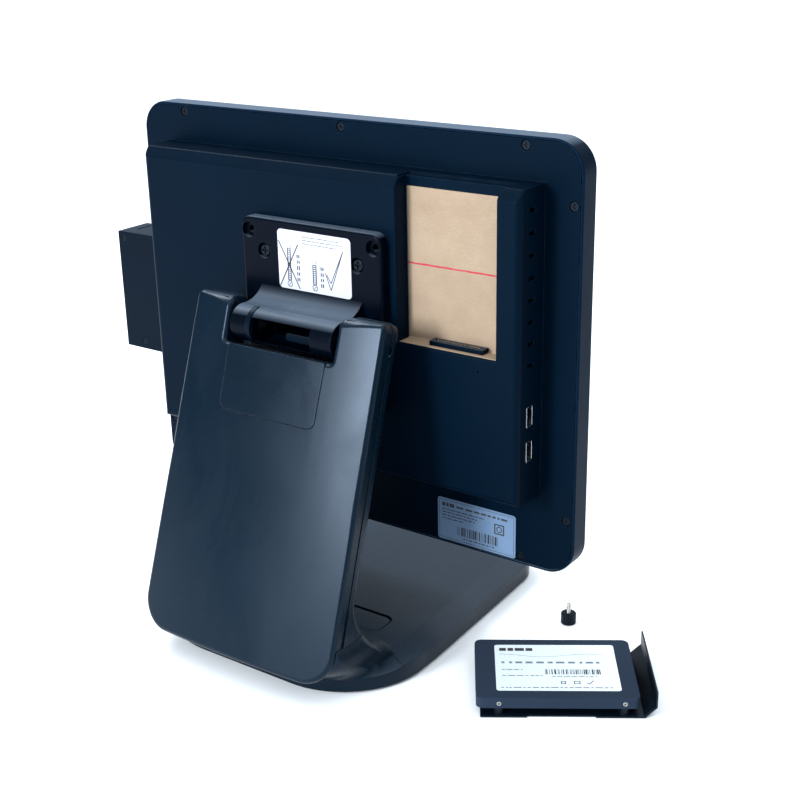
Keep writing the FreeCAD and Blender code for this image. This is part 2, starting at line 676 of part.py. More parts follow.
def chassis_plate():
    plate = block(-162, 162, -10.8, -9.8, 75, 328)
    for x in (-20.0, 110.0):
        for z in (150.0, 280.0):
            plate = plate.fuse(rod(V(x, -9.9, z), Y_AXIS, 3.0, 6.9))
    return plate.removeSplitter()


def power_button():
    """Small push button under the frame; it stands proud by a millimetre."""
    cap = slab_z(140.0, 150.0, -18.0, -12.0, HEAD_BOTTOM - 1.0, HEAD_BOTTOM + 4.0, 1.0)
    stem = slab_z(141.0, 149.0, -17.2, -12.8, HEAD_BOTTOM + 3.9, HEAD_BOTTOM + 8.5, 1.0)
    return cap.fuse(stem).removeSplitter()


def port_places():
    """Sockets in the underside of the housing: x, half width, half depth, kind."""
    return ((110.0, 8.0, 6.8, "jack"), (86.0, 8.0, 6.8, "jack"), (62.0, 8.0, 6.8, "jack"),
            (40.0, 6.6, 3.4, "usb"), (22.0, 6.6, 3.4, "usb"), (-4.0, 5.5, 5.5, "power"))


def side_usb_places():
    return ((8.8, 173.4), (8.8, 150.6))


def head_rear_cover():
    edge = FRAME_LIP + 0.4
    flat = slab_y(-HEAD_HALF + edge, HEAD_HALF - edge, HEAD_BOTTOM + edge, HEAD_TOP - edge,
                  HEAD_BACK - BACK_THICK, HEAD_BACK, HEAD_R - edge)
    outline = ((HEAD_BACK - 1.0, HOUSING_BOTTOM), (PLATEAU_Y, PLATEAU_BOTTOM), (PLATEAU_Y, PLATEAU_TOP),
               (CHAMFER_Y, HOUSING_TOP), (HEAD_BACK - 1.0, HOUSING_TOP))
    box = profile_x(outline, (0.0,) * 5, -HOUSING_HALF, HOUSING_HALF)
    sides = edges_where(box, lambda e: edge_in(e, 1, PLATEAU_Y) and e.BoundBox.ZMin < PLATEAU_TOP - 1)
    box = box.makeFillet(4.0, sides)
    top = edges_where(box, lambda e: e.BoundBox.XLength > 200 and e.BoundBox.ZMin > PLATEAU_TOP - 1
                      and e.BoundBox.YMin > 0)
    box = box.makeFillet(1.5, top)
    wall = HOUSING_WALL
    inner_line = ((HEAD_BACK - BACK_THICK - 1, HOUSING_BOTTOM + wall + 0.2),
                  (PLATEAU_Y - wall, PLATEAU_BOTTOM + wall),
                  (PLATEAU_Y - wall, PLATEAU_TOP - 1.0), (CHAMFER_Y - 1.2, HOUSING_TOP - wall),
                  (HEAD_BACK - BACK_THICK - 1, HOUSING_TOP - wall))
    inside = profile_x(inner_line, (0.0,) * 5, -HOUSING_HALF + wall, HOUSING_HALF - wall)
    cover = flat.fuse(box).cut(inside)
    bay_wall = 2.0
    bay_outer = block(BAY_RIGHT - bay_wall, BAY_LEFT + bay_wall, BAY_FLOOR - bay_wall, PLATEAU_Y - 1.0,
                      BAY_BOTTOM - bay_wall, HOUSING_TOP - 1.0)
    cover = cover.fuse(bay_outer.common(box))
    bay = block(BAY_RIGHT, BAY_LEFT, BAY_FLOOR, PLATEAU_Y + 20, BAY_BOTTOM, HOUSING_TOP + 20)
    cover = cover.cut(bay)
    flange_seat = block(BAY_RIGHT - 3.0, BAY_LEFT + 1.5, 5.0, PLATEAU_Y + 20,
                        HOUSING_TOP - 1.2, HOUSING_TOP + 20)
    cover = cover.cut(flange_seat)
    rim = [e for e in cover.Edges if edge_in(e, 1, PLATEAU_Y) and e.BoundBox.ZMin > BAY_BOTTOM - 1
           and e.BoundBox.ZMax < HOUSING_TOP and BAY_RIGHT - 1 < e.BoundBox.XMin
           and e.BoundBox.XMax < BAY_LEFT + 1 and e.Length > 20]
    cover = cover.makeFillet(1.2, rim)
    cuts = [rod(V(x, HEAD_BACK - 10, z), Y_AXIS, 1.7, 20) for x, z in cover_screw_places()]
    cuts += [rod(V(x, HEAD_BACK - 1.6, z), Y_AXIS, 3.3, 5) for x, z in cover_screw_places()]
    cuts += [block(-HOUSING_HALF - 1, -HOUSING_HALF + 5, y - 3.7, y + 3.7, z - 6.8, z + 6.8)
             for y, z in side_usb_places()]
    for k in range(8):
        z = 303.0 - 13.5 * k
        cuts.append(block(-HOUSING_HALF - 1, -HOUSING_HALF + 5, 5.0, 12.0, z - 4.0, z - 1.2))
    for x, half, deep, kind in port_places():
        cuts.append(block(x - half - 0.3, x + half + 0.3, PORT_Y - deep - 0.3, PORT_Y + deep + 0.3,
                          HOUSING_BOTTOM - 2, HOUSING_BOTTOM + 8))
    for x in (-83.0, -121.0):
        cuts.append(rod(V(x, PLATEAU_Y - 1.2, 200.8), Y_AXIS, 0.8, 5))
    cuts.append(slab_y(-19, 19, AXIS_Z - 6.5, AXIS_Z + 5.5, PLATEAU_Y - 10, PLATEAU_Y + 1, 2.5))
    cover = cut_all(cover, cuts)
    for sx in (-1, 1):
        for sz in (-1, 1):
            boss = rod(V(sx * VESA_SMALL, PLATEAU_Y - 11, VESA_Z + sz * VESA_SMALL), Y_AXIS, 4.5, 10)
            hole = rod(V(sx * VESA_SMALL, PLATEAU_Y - 10, VESA_Z + sz * VESA_SMALL), Y_AXIS, 2.05, 20)
            cover = cover.fuse(boss).cut(hole)
    return cover.removeSplitter()


def cover_screws():
    screws = []
    for x, z in cover_screw_places():
        head = rod(V(x, HEAD_BACK - 1.6, z), Y_AXIS, 2.7, 1.2)
        slot = block(x - 1.7, x + 1.7, HEAD_BACK - 1.1, HEAD_BACK, z - 0.35, z + 0.35)
        cross = block(x - 0.35, x + 0.35, HEAD_BACK - 1.1, HEAD_BACK, z - 1.7, z + 1.7)
        shank = rod(V(x, HEAD_BACK - 8.0, z), Y_AXIS, 1.35, 6.5)
        screws.append(head.fuse(shank).cut(slot).cut(cross))
    return screws


def mainboard():
    return block(-52, 128, -2.9, -1.3, 132, 298)


def heat_sink():
    body = block(-45, 60, -1.2, 3.0, 236, 296)
    for k in range(12):
        x = -44.0 + 9.0 * k
        body = body.fuse(block(x, x + 3.0, 2.9, 11.5, 237, 295))
    return body.removeSplitter()


def memory_module():
    return block(75, 125, -1.2, 1.2, 190, 220)


def speaker():
    case = slab_y(-128, -88, 124, 164, -4.0, 8.0, 5.0)
    cone = rod(V(-108, 6.0, 144), Y_AXIS, 14.0, 4.0)
    return case.cut(cone)


def socket_shell(x, half, deep):
    z0 = HOUSING_BOTTOM + 0.9
    shell = block(x - half, x + half, PORT_Y - deep, PORT_Y + deep, z0, z0 + 15)
    half_in = half - 1.2
    deep_in = deep - 1.2
    hollow = block(x - half_in, x + half_in, PORT_Y - deep_in, PORT_Y + deep_in, z0 - 1, z0 + 12)
    return shell.cut(hollow)


def network_jacks():
    return [socket_shell(x, half, deep) for x, half, deep, kind in port_places() if kind == "jack"]


def lower_usb_ports():
    shells = []
    for x, half, deep, kind in port_places():
        if kind == "usb":
            tongue = block(x - half + 2.2, x + half - 2.2, PORT_Y - 1.0, PORT_Y + 0.6,
                           HOUSING_BOTTOM + 4.0, HOUSING_BOTTOM + 13.5)
            shells.append(socket_shell(x, half, deep).fuse(tongue))
    return shells


def power_jack():
    x, half, deep, kind = port_places()[5]
    z0 = HOUSING_BOTTOM + 0.9
    body = block(x - half, x + half, PORT_Y - deep, PORT_Y + deep, z0, z0 + 13)
    body = body.cut(rod(V(x, PORT_Y, z0 - 1), Z_AXIS, 3.6, 10))
    return body.fuse(rod(V(x, PORT_Y, z0 + 1), Z_AXIS, 1.0, 8.5))


def side_usb_ports():
    shells = []
    for y, z in side_usb_places():
        shell = block(-HOUSING_HALF - 0.3, -HOUSING_HALF + 14, y - 3.5, y + 3.5, z - 6.6, z + 6.6)
        hollow = block(-HOUSING_HALF - 2, -HOUSING_HALF + 12, y - 2.9, y + 2.9, z - 6.0, z + 6.0)
        shells.append(shell.cut(hollow))
    return shells


def side_usb_tongues():
    return [block(-HOUSING_HALF + 1.5, -HOUSING_HALF + 11.9, y + 0.2, y + 2.0, z - 5.4, z + 5.4)
            for y, z in side_usb_places()]


def insulating_sheet():
    back = block(BAY_RIGHT + 0.3, BAY_LEFT - 0.3, BAY_FLOOR + 0.05, BAY_FLOOR + 0.3,
                 BAY_BOTTOM + 0.05, PLATEAU_TOP - 0.9)
    flap = block(BAY_RIGHT + 0.3, BAY_LEFT - 0.3, BAY_FLOOR + 0.05, PLATEAU_Y - 1.4,
                 BAY_BOTTOM + 0.05, BAY_BOTTOM + 0.3)
    return back.fuse(flap).removeSplitter()


def sata_socket():
    bar = block(-121.3, -82.7, BAY_FLOOR + 0.35, BAY_FLOOR + 7.5, BAY_BOTTOM + 0.35, BAY_BOTTOM + 3.2)
    groove = block(-119.2, -84.8, BAY_FLOOR + 3.0, BAY_FLOOR + 4.8, BAY_BOTTOM + 1.2, BAY_BOTTOM + 6.0)
    return bar.cut(groove)


def rating_label():
    return slab_y(-131.9, -71.8, 65.6, 95.9, HEAD_BACK + 0.02, HEAD_BACK + 0.2, 2.0)


def vesa_label():
    return slab_y(-33.0, 25.6, 234.5, 273.3, ARM_REAR + 0.02, ARM_REAR + 0.2, 3.0)


# ---------------------------------------------------------------- card reader

def reader_body():
    body = slab_z(READER_IN, READER_OUT, READER_FRONT, HEAD_BACK - 2.2, READER_BOTTOM, READER_TOP, 2.5)
    outer_top = edges_where(body, lambda e: edge_in(e, 2, READER_TOP) or edge_in(e, 2, READER_BOTTOM))
    body = body.makeFillet(1.0, outer_top)
    slot = block(SLOT_X - SLOT_WIDE / 2, SLOT_X + SLOT_WIDE / 2, READER_FRONT - 5, SLOT_END,
                 READER_BOTTOM - 5, READER_TOP + 5)
    lead = profile_z(((SLOT_X - 3.5, READER_FRONT - 0.1), (SLOT_X + 3.5, READER_FRONT - 0.1),
                      (SLOT_X, READER_FRONT + 4.5)), READER_BOTTOM - 5, READER_TOP + 5)
    head_room = block(186.0, SLOT_X, -30.6, -19.4, 190.9, 203.1)
    board_room = block(177.0, 187.0, -33.0, HEAD_BACK, 160, 234)
    return body.cut(slot).cut(lead).cut(head_room).cut(board_room)


def reader_screw_places():
    return ((206.6, 236.0), (194.0, 158.2))


def reader_back():
    plate = slab_y(READER_IN, READER_OUT, READER_BOTTOM, READER_TOP, HEAD_BACK - 2.0, HEAD_BACK, 1.0)
    for x, z in reader_screw_places():
        plate = plate.cut(rod(V(x, HEAD_BACK - 5, z), Y_AXIS, 1.3, 10))
        plate = plate.cut(rod(V(x, HEAD_BACK - 1.0, z), Y_AXIS, 2.3, 5))
    return plate


def reader_screws():
    screws = []
    for x, z in reader_screw_places():
        head = rod(V(x, HEAD_BACK - 1.0, z), Y_AXIS, 2.0, 0.8)
        slot = block(x - 1.3, x + 1.3, HEAD_BACK - 0.7, HEAD_BACK, z - 0.3, z + 0.3)
        shank = rod(V(x, HEAD_BACK - 2.1, z), Y_AXIS, 1.0, 1.2)
        screws.append(head.fuse(shank).cut(slot))
    return screws


def reader_board():
    return block(180.0, 181.6, -31.0, -9.0, 164, 230)


def reader_head():
    """Sprung magnetic head that a card pushes back out of the slot."""
    body = block(188.3, 200.4, -30.0, -20.0, 191.5, 202.5)
    nose = rod(V(197.6, -30.0, 197.0), Y_AXIS, 3.9, 10.0)
    return body.cut(block(197.6, 210, -40, -10, 190, 204)).fuse(nose).removeSplitter()


# ---------------------------------------------------------------- drive and tray on the counter

def put_down(shape):
    """Carry a shape from the tray's own frame (a along, b across, z up) to the counter."""
    result = shape.copy()
    result.rotate(ORIGIN, Z_AXIS, TRAY_TURN)
    result.translate(V(TRAY_X, TRAY_Y, 0))
    return result


def mirror_b(shape):
    """The tray lies the other way round across, so b points to the rear of the terminal."""
    return shape.mirror(ORIGIN, Y_AXIS)


def drive_tray():
    tray = slab_z(TRAY_END, RAMP_A + 1.0, -35.2, TRAY_NEAR, 0.0, TRAY_SHEET, 0.8)
    slant = TRAY_SHEET * math.tan(math.radians(22.5))
    rise = FLANGE_A - RAMP_A
    bend = ((RAMP_A, 0.0), (FLANGE_A, rise), (FLANGE_A, FLANGE_HIGH), (FLANGE_A - TRAY_SHEET, FLANGE_HIGH),
            (FLANGE_A - TRAY_SHEET, rise + slant), (RAMP_A - slant, TRAY_SHEET))
    wire = Part.makePolygon([V(a, -FLANGE_FAR, z) for a, z in bend + bend[:1]])
    flange = Part.Face(wire).extrude(V(0, FLANGE_FAR + TRAY_NEAR, 0))
    corners = edges_where(flange, lambda e: edge_in(e, 2, FLANGE_HIGH) and e.BoundBox.YLength < 0.1)
    tray = tray.fuse(flange.makeFillet(1.5, corners))
    for a, b in DRIVE_HOLES:
        tray = tray.fuse(rod(V(a, b, TRAY_SHEET - 0.1), Z_AXIS, 3.2, STANDOFF + 0.1))
    for a, b in DRIVE_HOLES:
        tray = tray.cut(rod(V(a, b, -1), Z_AXIS, 1.65, 20))
    tray = tray.cut(rod(V(FLANGE_A - 5, -8.0, 10.5), X_AXIS, 1.8, 10))
    tray = tray.cut(block(-19, 23, TRAY_NEAR - 1.2, TRAY_NEAR + 5, -1, TRAY_SHEET + 1))
    return put_down(mirror_b(tray.removeSplitter()))


def ssd_base_z():
    return TRAY_SHEET + STANDOFF + 0.05


def ssd_case():
    z0 = ssd_base_z()
    case = slab_z(-SSD_LONG / 2, SSD_LONG / 2, -SSD_WIDE / 2, SSD_WIDE / 2, z0, z0 + SSD_THICK, 4.5)
    case = case.makeFillet(0.7, edges_where(case, lambda e: edge_in(e, 2, z0 + SSD_THICK)))
    case = case.cut(block(-SSD_LONG / 2 - 1, -SSD_LONG / 2 + 7, -18, 24, z0 + 1.0, z0 + 5.8))
    for a, b in DRIVE_HOLES:
        case = case.cut(rod(V(a, b, z0 - 1), Z_AXIS, 1.5, 4))
    for a in (-36.0, 40.6):
        for side in (-1, 1):
            case = case.cut(rod(V(a, side * (SSD_WIDE / 2 + 1), z0 + 3.0), V(0, -side, 0), 1.5, 4.0))
    return put_down(mirror_b(case))


def ssd_side_inserts():
    z0 = ssd_base_z()
    inserts = []
    for a in (-36.0, 40.6):
        for side in (-1, 1):
            start = V(a, side * (SSD_WIDE / 2 - 0.1), z0 + 3.0)
            sleeve = rod(start, V(0, -side, 0), 1.42, 2.8)
            sleeve = sleeve.cut(rod(start + V(0, side, 0), V(0, -side, 0), 0.9, 3.0))
            inserts.append(put_down(mirror_b(sleeve)))
    return inserts


def ssd_plug():
    z0 = ssd_base_z()
    tongue = block(-SSD_LONG / 2 + 0.5, -SSD_LONG / 2 + 6.95, -16, 22, z0 + 2.4, z0 + 3.6)
    return put_down(mirror_b(tongue))


def ssd_label():
    z0 = ssd_base_z() + SSD_THICK
    return put_down(mirror_b(slab_z(-37.2, 39.4, -27.5, 26.4, z0 + 0.02, z0 + 0.15, 2.0)))


def tray_screws():
    screws = []
    for a, b in DRIVE_HOLES:
        shank = rod(V(a, b, 0.3), Z_AXIS, 1.45, 6.9)
        head = rod(V(a, b, 0.15), Z_AXIS, 1.6, 0.7)
        screws.append(put_down(mirror_b(shank.fuse(head))))
    return screws


def thumb_knob():
    """Knurled head standing upside down on the counter."""
    knob = rod(V(THUMB_X, THUMB_Y, 0), Z_AXIS, 5.2, 8.0)
    knob = knob.makeChamfer(0.6, edges_where(knob, lambda e: edge_in(e, 2, 0.0) or edge_in(e, 2, 8.0)))
    grooves = 24
    for k in range(grooves):
        angle = 2.0 * math.pi * k / grooves
        spot = V(THUMB_X + 5.35 * math.cos(angle), THUMB_Y + 5.35 * math.sin(angle), 1.2)
        knob = knob.cut(rod(spot, Z_AXIS, 0.42, 5.6))
    return knob.cut(rod(V(THUMB_X, THUMB_Y, 4.0), Z_AXIS, 1.52, 10))


def thumb_shank():
    shank = rod(V(THUMB_X, THUMB_Y, 4.1), Z_AXIS, 1.45, 10.9)
    return shank.makeChamfer(0.4, edges_where(shank, lambda e: edge_in(e, 2, 15.0)))


def main():
    envelope = leg_envelope()
    save("base_top_shell", base_top_shell())
    save("base_bottom_plate", base_bottom_plate())
    save("base_ballast", base_ballast())
    save("base_screws", base_screws())
    save("base_pads", base_pads())
    save("base_cable_cover", base_cable_cover())
    save("stand_foot", stand_foot())
    save("stand_rear_cover", stand_rear_cover(envelope))
    save("stand_door", stand_door(envelope))
    save("stand_side_strips", side_strips())
    save("stand_front_shell", stand_front_shell(envelope))
    save("stand_spine", stand_spine())
    save("stand_screws", stand_screws())
    save("hinge_pins", hinge_pins())
    save("hinge_washers", hinge_washers())
    save("hinge_nuts", hinge_nuts())
    save("arm_bracket", arm_bracket())
    save("barrel_ring", barrel_ring())
    save("cable_clip", cable_clip())
    save("vesa_screws", vesa_screws())
    save("vesa_label", vesa_label())
    save("bezel_frame", bezel_frame())
    save("touch_glass", touch_glass())
    save("lcd_panel", lcd_panel())
    save("chassis_plate", chassis_plate())
    save("power_button", power_button())
    save("head_rear_cover", head_rear_cover())
    save("cover_screws", cover_screws())
    save("mainboard", mainboard())
    save("heat_sink", heat_sink())
    save("memory_module", memory_module())
    save("speaker", speaker())
    save("network_jacks", network_jacks())
    save("lower_usb_ports", lower_usb_ports())
    save("power_jack", power_jack())
    save("side_usb_ports", side_usb_ports())
    save("side_usb_tongues", side_usb_tongues())
    save("insulating_sheet", insulating_sheet())
    save("sata_socket", sata_socket())
    save("rating_label", rating_label())
    save("reader_body", reader_body())
    save("reader_back", reader_back())
    save("reader_screws", reader_screws())
    save("reader_board", reader_board())
    save("reader_head", reader_head())
    save("drive_tray", drive_tray())
    save("ssd_case", ssd_case())
    save("ssd_side_inserts", ssd_side_inserts())
    save("ssd_plug", ssd_plug())
    save("ssd_label", ssd_label())
    save("tray_screws", tray_screws())
    save("thumb_knob", thumb_knob())
    save("thumb_shank", thumb_shank())


main()
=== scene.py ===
import json
import math
import random

import bmesh
import bpy
from mathutils import Matrix, Vector


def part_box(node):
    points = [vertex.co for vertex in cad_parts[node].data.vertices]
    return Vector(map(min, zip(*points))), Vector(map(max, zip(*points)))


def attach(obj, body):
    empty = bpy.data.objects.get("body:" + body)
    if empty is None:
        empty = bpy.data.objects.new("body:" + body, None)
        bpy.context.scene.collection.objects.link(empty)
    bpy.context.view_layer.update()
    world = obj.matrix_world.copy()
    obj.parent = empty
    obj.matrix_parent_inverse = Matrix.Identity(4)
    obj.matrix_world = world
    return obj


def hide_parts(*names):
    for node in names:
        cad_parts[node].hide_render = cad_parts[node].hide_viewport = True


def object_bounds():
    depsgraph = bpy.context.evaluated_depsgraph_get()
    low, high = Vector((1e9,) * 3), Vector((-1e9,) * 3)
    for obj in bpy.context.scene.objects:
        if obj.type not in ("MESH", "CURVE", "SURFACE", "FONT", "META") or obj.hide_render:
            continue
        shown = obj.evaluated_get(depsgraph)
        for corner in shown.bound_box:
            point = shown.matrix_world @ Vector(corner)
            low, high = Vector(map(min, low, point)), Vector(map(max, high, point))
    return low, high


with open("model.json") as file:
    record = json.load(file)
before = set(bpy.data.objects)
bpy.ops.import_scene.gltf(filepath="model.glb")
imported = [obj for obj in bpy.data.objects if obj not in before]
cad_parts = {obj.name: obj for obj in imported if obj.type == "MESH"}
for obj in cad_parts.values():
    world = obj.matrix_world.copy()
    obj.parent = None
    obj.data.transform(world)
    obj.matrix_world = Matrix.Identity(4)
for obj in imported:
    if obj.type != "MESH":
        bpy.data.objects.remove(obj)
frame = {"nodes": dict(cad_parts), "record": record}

# Looks for the POS touchscreen terminal. Metres; +Z up, the screen looks along -Y.

MM = 0.001
CAD_LOW, CAD_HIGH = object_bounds()


# ---------------------------------------------------------------- shader helpers

class Shader:
    """One material with a Principled shader, and short calls that add nodes to it."""

    def __init__(self, name):
        self.material = bpy.data.materials.new(name)
        self.material.use_nodes = True
        self.tree = self.material.node_tree
        self.tree.nodes.clear()
        out = self.tree.nodes.new("ShaderNodeOutputMaterial")
        self.main = self.tree.nodes.new("ShaderNodeBsdfPrincipled")
        self.tree.links.new(self.main.outputs[0], out.inputs[0])
        self.where = self.tree.nodes.new("ShaderNodeTexCoord").outputs["Object"]

    def link(self, source, socket):
        self.tree.links.new(source, socket)

    def put(self, value, socket):
        """Links a socket, or sets a plain value."""
        if isinstance(value, bpy.types.NodeSocket):
            self.tree.links.new(value, socket)
        else:
            socket.default_value = value

    def noise(self, scale, detail=2.0, rough=0.5, stretch=None, warp=0.0):
        node = self.tree.nodes.new("ShaderNodeTexNoise")
        node.inputs["Scale"].default_value = scale
        node.inputs["Detail"].default_value = detail
        node.inputs["Roughness"].default_value = rough
        node.inputs["Distortion"].default_value = warp
        self.link(self.stretched(stretch), node.inputs["Vector"])
        return node.outputs["Fac"]

    def cells(self, scale, output="Distance", stretch=None):
        node = self.tree.nodes.new("ShaderNodeTexVoronoi")
        node.inputs["Scale"].default_value = scale
        self.link(self.stretched(stretch), node.inputs["Vector"])
        return node.outputs[output]

    def stretched(self, stretch):
        if stretch is None:
            return self.where
        node = self.tree.nodes.new("ShaderNodeMapping")
        node.inputs["Scale"].default_value = stretch
        self.link(self.where, node.inputs["Vector"])
        return node.outputs["Vector"]

    def axis(self, letter):
        node = self.tree.nodes.new("ShaderNodeSeparateXYZ")
        self.link(self.where, node.inputs[0])
        return node.outputs[letter]

    def math(self, kind, a, b=0.0, clamp=False):
        node = self.tree.nodes.new("ShaderNodeMath")
        node.operation = kind
        node.use_clamp = clamp
        self.put(a, node.inputs[0])
        self.put(b, node.inputs[1])
        return node.outputs[0]

    def remap(self, value, low, high, to_low, to_high):
        node = self.tree.nodes.new("ShaderNodeMapRange")
        node.inputs["From Min"].default_value = low
        node.inputs["From Max"].default_value = high
        node.inputs["To Min"].default_value = to_low
        node.inputs["To Max"].default_value = to_high
        self.link(value, node.inputs["Value"])
        return node.outputs[0]

    def blend(self, factor, first, second):
        node = self.tree.nodes.new("ShaderNodeMix")
        node.data_type = "RGBA"
        self.put(factor, node.inputs[0])
        for value, socket in ((first, node.inputs[6]), (second, node.inputs[7])):
            self.put(value if isinstance(value, bpy.types.NodeSocket) else (*value, 1.0), socket)
        return node.outputs[2]

    def edges(self, radius, low=0.004, high=0.10):
        """Mask that is 1 along sharp edges and 0 on flat ground, and the rounded normal itself."""
        round_normal = self.tree.nodes.new("ShaderNodeBevel")
        round_normal.samples = 6
        round_normal.inputs["Radius"].default_value = radius
        true_normal = self.tree.nodes.new("ShaderNodeNewGeometry")
        dot = self.tree.nodes.new("ShaderNodeVectorMath")
        dot.operation = "DOT_PRODUCT"
        self.link(round_normal.outputs[0], dot.inputs[0])
        self.link(true_normal.outputs["Normal"], dot.inputs[1])
        bent = self.math("SUBTRACT", 1.0, dot.outputs["Value"], True)
        return self.remap(bent, low, high, 0.0, 1.0), round_normal.outputs[0]

    def facing_up(self, level):
        """Mask that is 0 on upright faces and 1 on level ones."""
        geometry = self.tree.nodes.new("ShaderNodeNewGeometry")
        split = self.tree.nodes.new("ShaderNodeSeparateXYZ")
        self.link(geometry.outputs["Normal"], split.inputs[0])
        return self.remap(split.outputs["Z"], level, 0.97, 0.0, 1.0)

    def bump(self, height, distance, strength=1.0, normal=None):
        node = self.tree.nodes.new("ShaderNodeBump")
        node.inputs["Strength"].default_value = strength
        node.inputs["Distance"].default_value = distance
        self.link(height, node.inputs["Height"])
        if normal is not None:
            self.link(normal, node.inputs["Normal"])
        return node.outputs[0]

    def finish(self, colour=None, rough=None, normal=None, **constants):
        if colour is not None:
            self.put(colour, self.main.inputs["Base Color"])
        if rough is not None:
            self.put(rough, self.main.inputs["Roughness"])
        if normal is not None:
            self.link(normal, self.main.inputs["Normal"])
        for name, value in constants.items():
            self.main.inputs[name.replace("_", " ")].default_value = value
        return self.material


def shade(base, change):
    return tuple(max(0.0, c * change) for c in base)


def coated(name, base, rough, spec, tint, grain, depth, wear=0.35, edge=0.0006,
           paling=0.0, level=0.8, above=0.0):
    """Painted or moulded dark shell: fine grain, soft cloudiness, and edges rubbed a little brighter.

    Paling lightens the faces that are about level, above the given height in metres: partly settled dust,
    partly painted top light that stands for light falling from above.
    """
    s = Shader(name)
    cloud = s.noise(7.0, 3.0, 0.6)
    fine = s.noise(grain, 3.0, 0.6)
    tone = s.remap(cloud, 0.3, 0.7, 0.0, 1.0)
    colour = s.blend(tone, shade(base, 0.86), shade(base, 1.16))
    speck = s.remap(fine, 0.35, 0.65, 0.0, 1.0)
    colour = s.blend(s.math("MULTIPLY", speck, 0.25), colour, shade(base, 1.5))
    rub = s.noise(160.0, 4.0, 0.65)
    mask, rounded = s.edges(edge)
    worn = s.math("MULTIPLY", mask, s.remap(rub, 0.4, 0.62, 0.15, 1.0))
    bright = tuple(1.6 * c + 0.02 * t for c, t in zip(base, tint))
    colour = s.blend(s.math("MULTIPLY", worn, wear), colour, bright)
    # Painted top light with dust: level faces pale towards grey-blue, standing for light from above as
    # well as for settled dust.
    if paling:
        dust_and_top_light = s.math("MULTIPLY", s.facing_up(level), s.remap(cloud, 0.25, 0.75, 0.8, 1.0))
        if above:
            dust_and_top_light = s.math("MULTIPLY", dust_and_top_light, s.remap(s.axis("Z"), above, above + 0.003, 0.0, 1.0))
        colour = s.blend(s.math("MULTIPLY", dust_and_top_light, paling), colour, (0.15, 0.20, 0.27))
    smear = s.noise(22.0, 4.0, 0.55, (1.0, 1.0, 0.45), 0.6)
    gloss = s.math("ADD", s.remap(smear, 0.3, 0.7, rough - 0.05, rough + 0.05),
                   s.remap(fine, 0.3, 0.7, -0.03, 0.03))
    return s.finish(colour, gloss, s.bump(fine, depth, 1.0, rounded),
                    Specular_IOR_Level=spec, Specular_Tint=(*tint, 1.0))


def brushed(name, base, rough, stretch, grain=900.0):
    """Plated or bare metal with a drawn grain, small stains and brighter edges."""
    s = Shader(name)
    lines = s.noise(grain, 3.0, 0.6, stretch)
    stain = s.noise(45.0, 4.0, 0.6)
    colour = s.blend(s.remap(lines, 0.3, 0.7, 0.0, 1.0), shade(base, 0.8), shade(base, 1.12))
    colour = s.blend(s.remap(stain, 0.55, 0.8, 0.0, 0.5), colour, shade(base, 0.55))
    mask, rounded = s.edges(0.0003)
    colour = s.blend(s.math("MULTIPLY", mask, 0.5), colour, shade(base, 1.35))
    gloss = s.remap(lines, 0.3, 0.7, rough - 0.06, rough + 0.08)
    return s.finish(colour, gloss, s.bump(lines, 0.00001, 0.6, rounded), Metallic=1.0)


def rubber(name):
    s = Shader(name)
    fine = s.noise(1400.0, 3.0, 0.7)
    paling = s.noise(60.0, 4.0, 0.6)
    colour = s.blend(s.remap(paling, 0.5, 0.75, 0.0, 0.6), (0.008, 0.008, 0.009), (0.03, 0.029, 0.028))
    return s.finish(colour, s.remap(fine, 0.3, 0.7, 0.68, 0.84), s.bump(fine, 0.00004),
                    Specular_IOR_Level=0.3)


def screen_glass(name, half_width, low, high):
    """Front glass with its black printed border and the dark active area showing behind it."""
    s = Shader(name)
    across = s.math("ABSOLUTE", s.axis("X"))
    inside = s.math("LESS_THAN", across, half_width)
    above = s.math("GREATER_THAN", s.axis("Z"), low)
    below = s.math("LESS_THAN", s.axis("Z"), high)
    active = s.math("MULTIPLY", inside, s.math("MULTIPLY", above, below))
    haze = s.noise(9.0, 3.0, 0.6)
    dots = s.cells(3200.0)
    lit = s.blend(s.remap(dots, 0.0, 0.7, 0.0, 1.0), (0.010, 0.012, 0.016), (0.017, 0.019, 0.024))
    lit = s.blend(s.remap(haze, 0.3, 0.7, 0.0, 0.5), lit, (0.020, 0.023, 0.030))
    border = s.blend(s.remap(haze, 0.3, 0.7, 0.0, 1.0), (0.0022, 0.0022, 0.0026), (0.0035, 0.0035, 0.004))
    finger = s.noise(35.0, 5.0, 0.65, (1.0, 1.0, 0.5), 1.2)
    gloss = s.remap(finger, 0.45, 0.75, 0.05, 0.15)
    mask, rounded = s.edges(0.0004)
    colour = s.blend(s.math("MULTIPLY", mask, 0.35), s.blend(active, border, lit), (0.10, 0.13, 0.13))
    return s.finish(colour, gloss, rounded, Specular_IOR_Level=0.3)


def circuit(name):
    s = Shader(name)
    tracks = s.cells(420.0, "Distance", (1.0, 1.0, 0.25))
    blocks = s.cells(70.0, "Color")
    base = s.blend(s.remap(tracks, 0.02, 0.10, 0.0, 1.0), (0.035, 0.16, 0.07), (0.008, 0.07, 0.03))
    tint = s.blend(0.08, base, blocks)
    return s.finish(tint, s.remap(s.noise(80.0), 0.3, 0.7, 0.28, 0.4), s.bump(tracks, 0.00005),
                    Specular_IOR_Level=0.5)


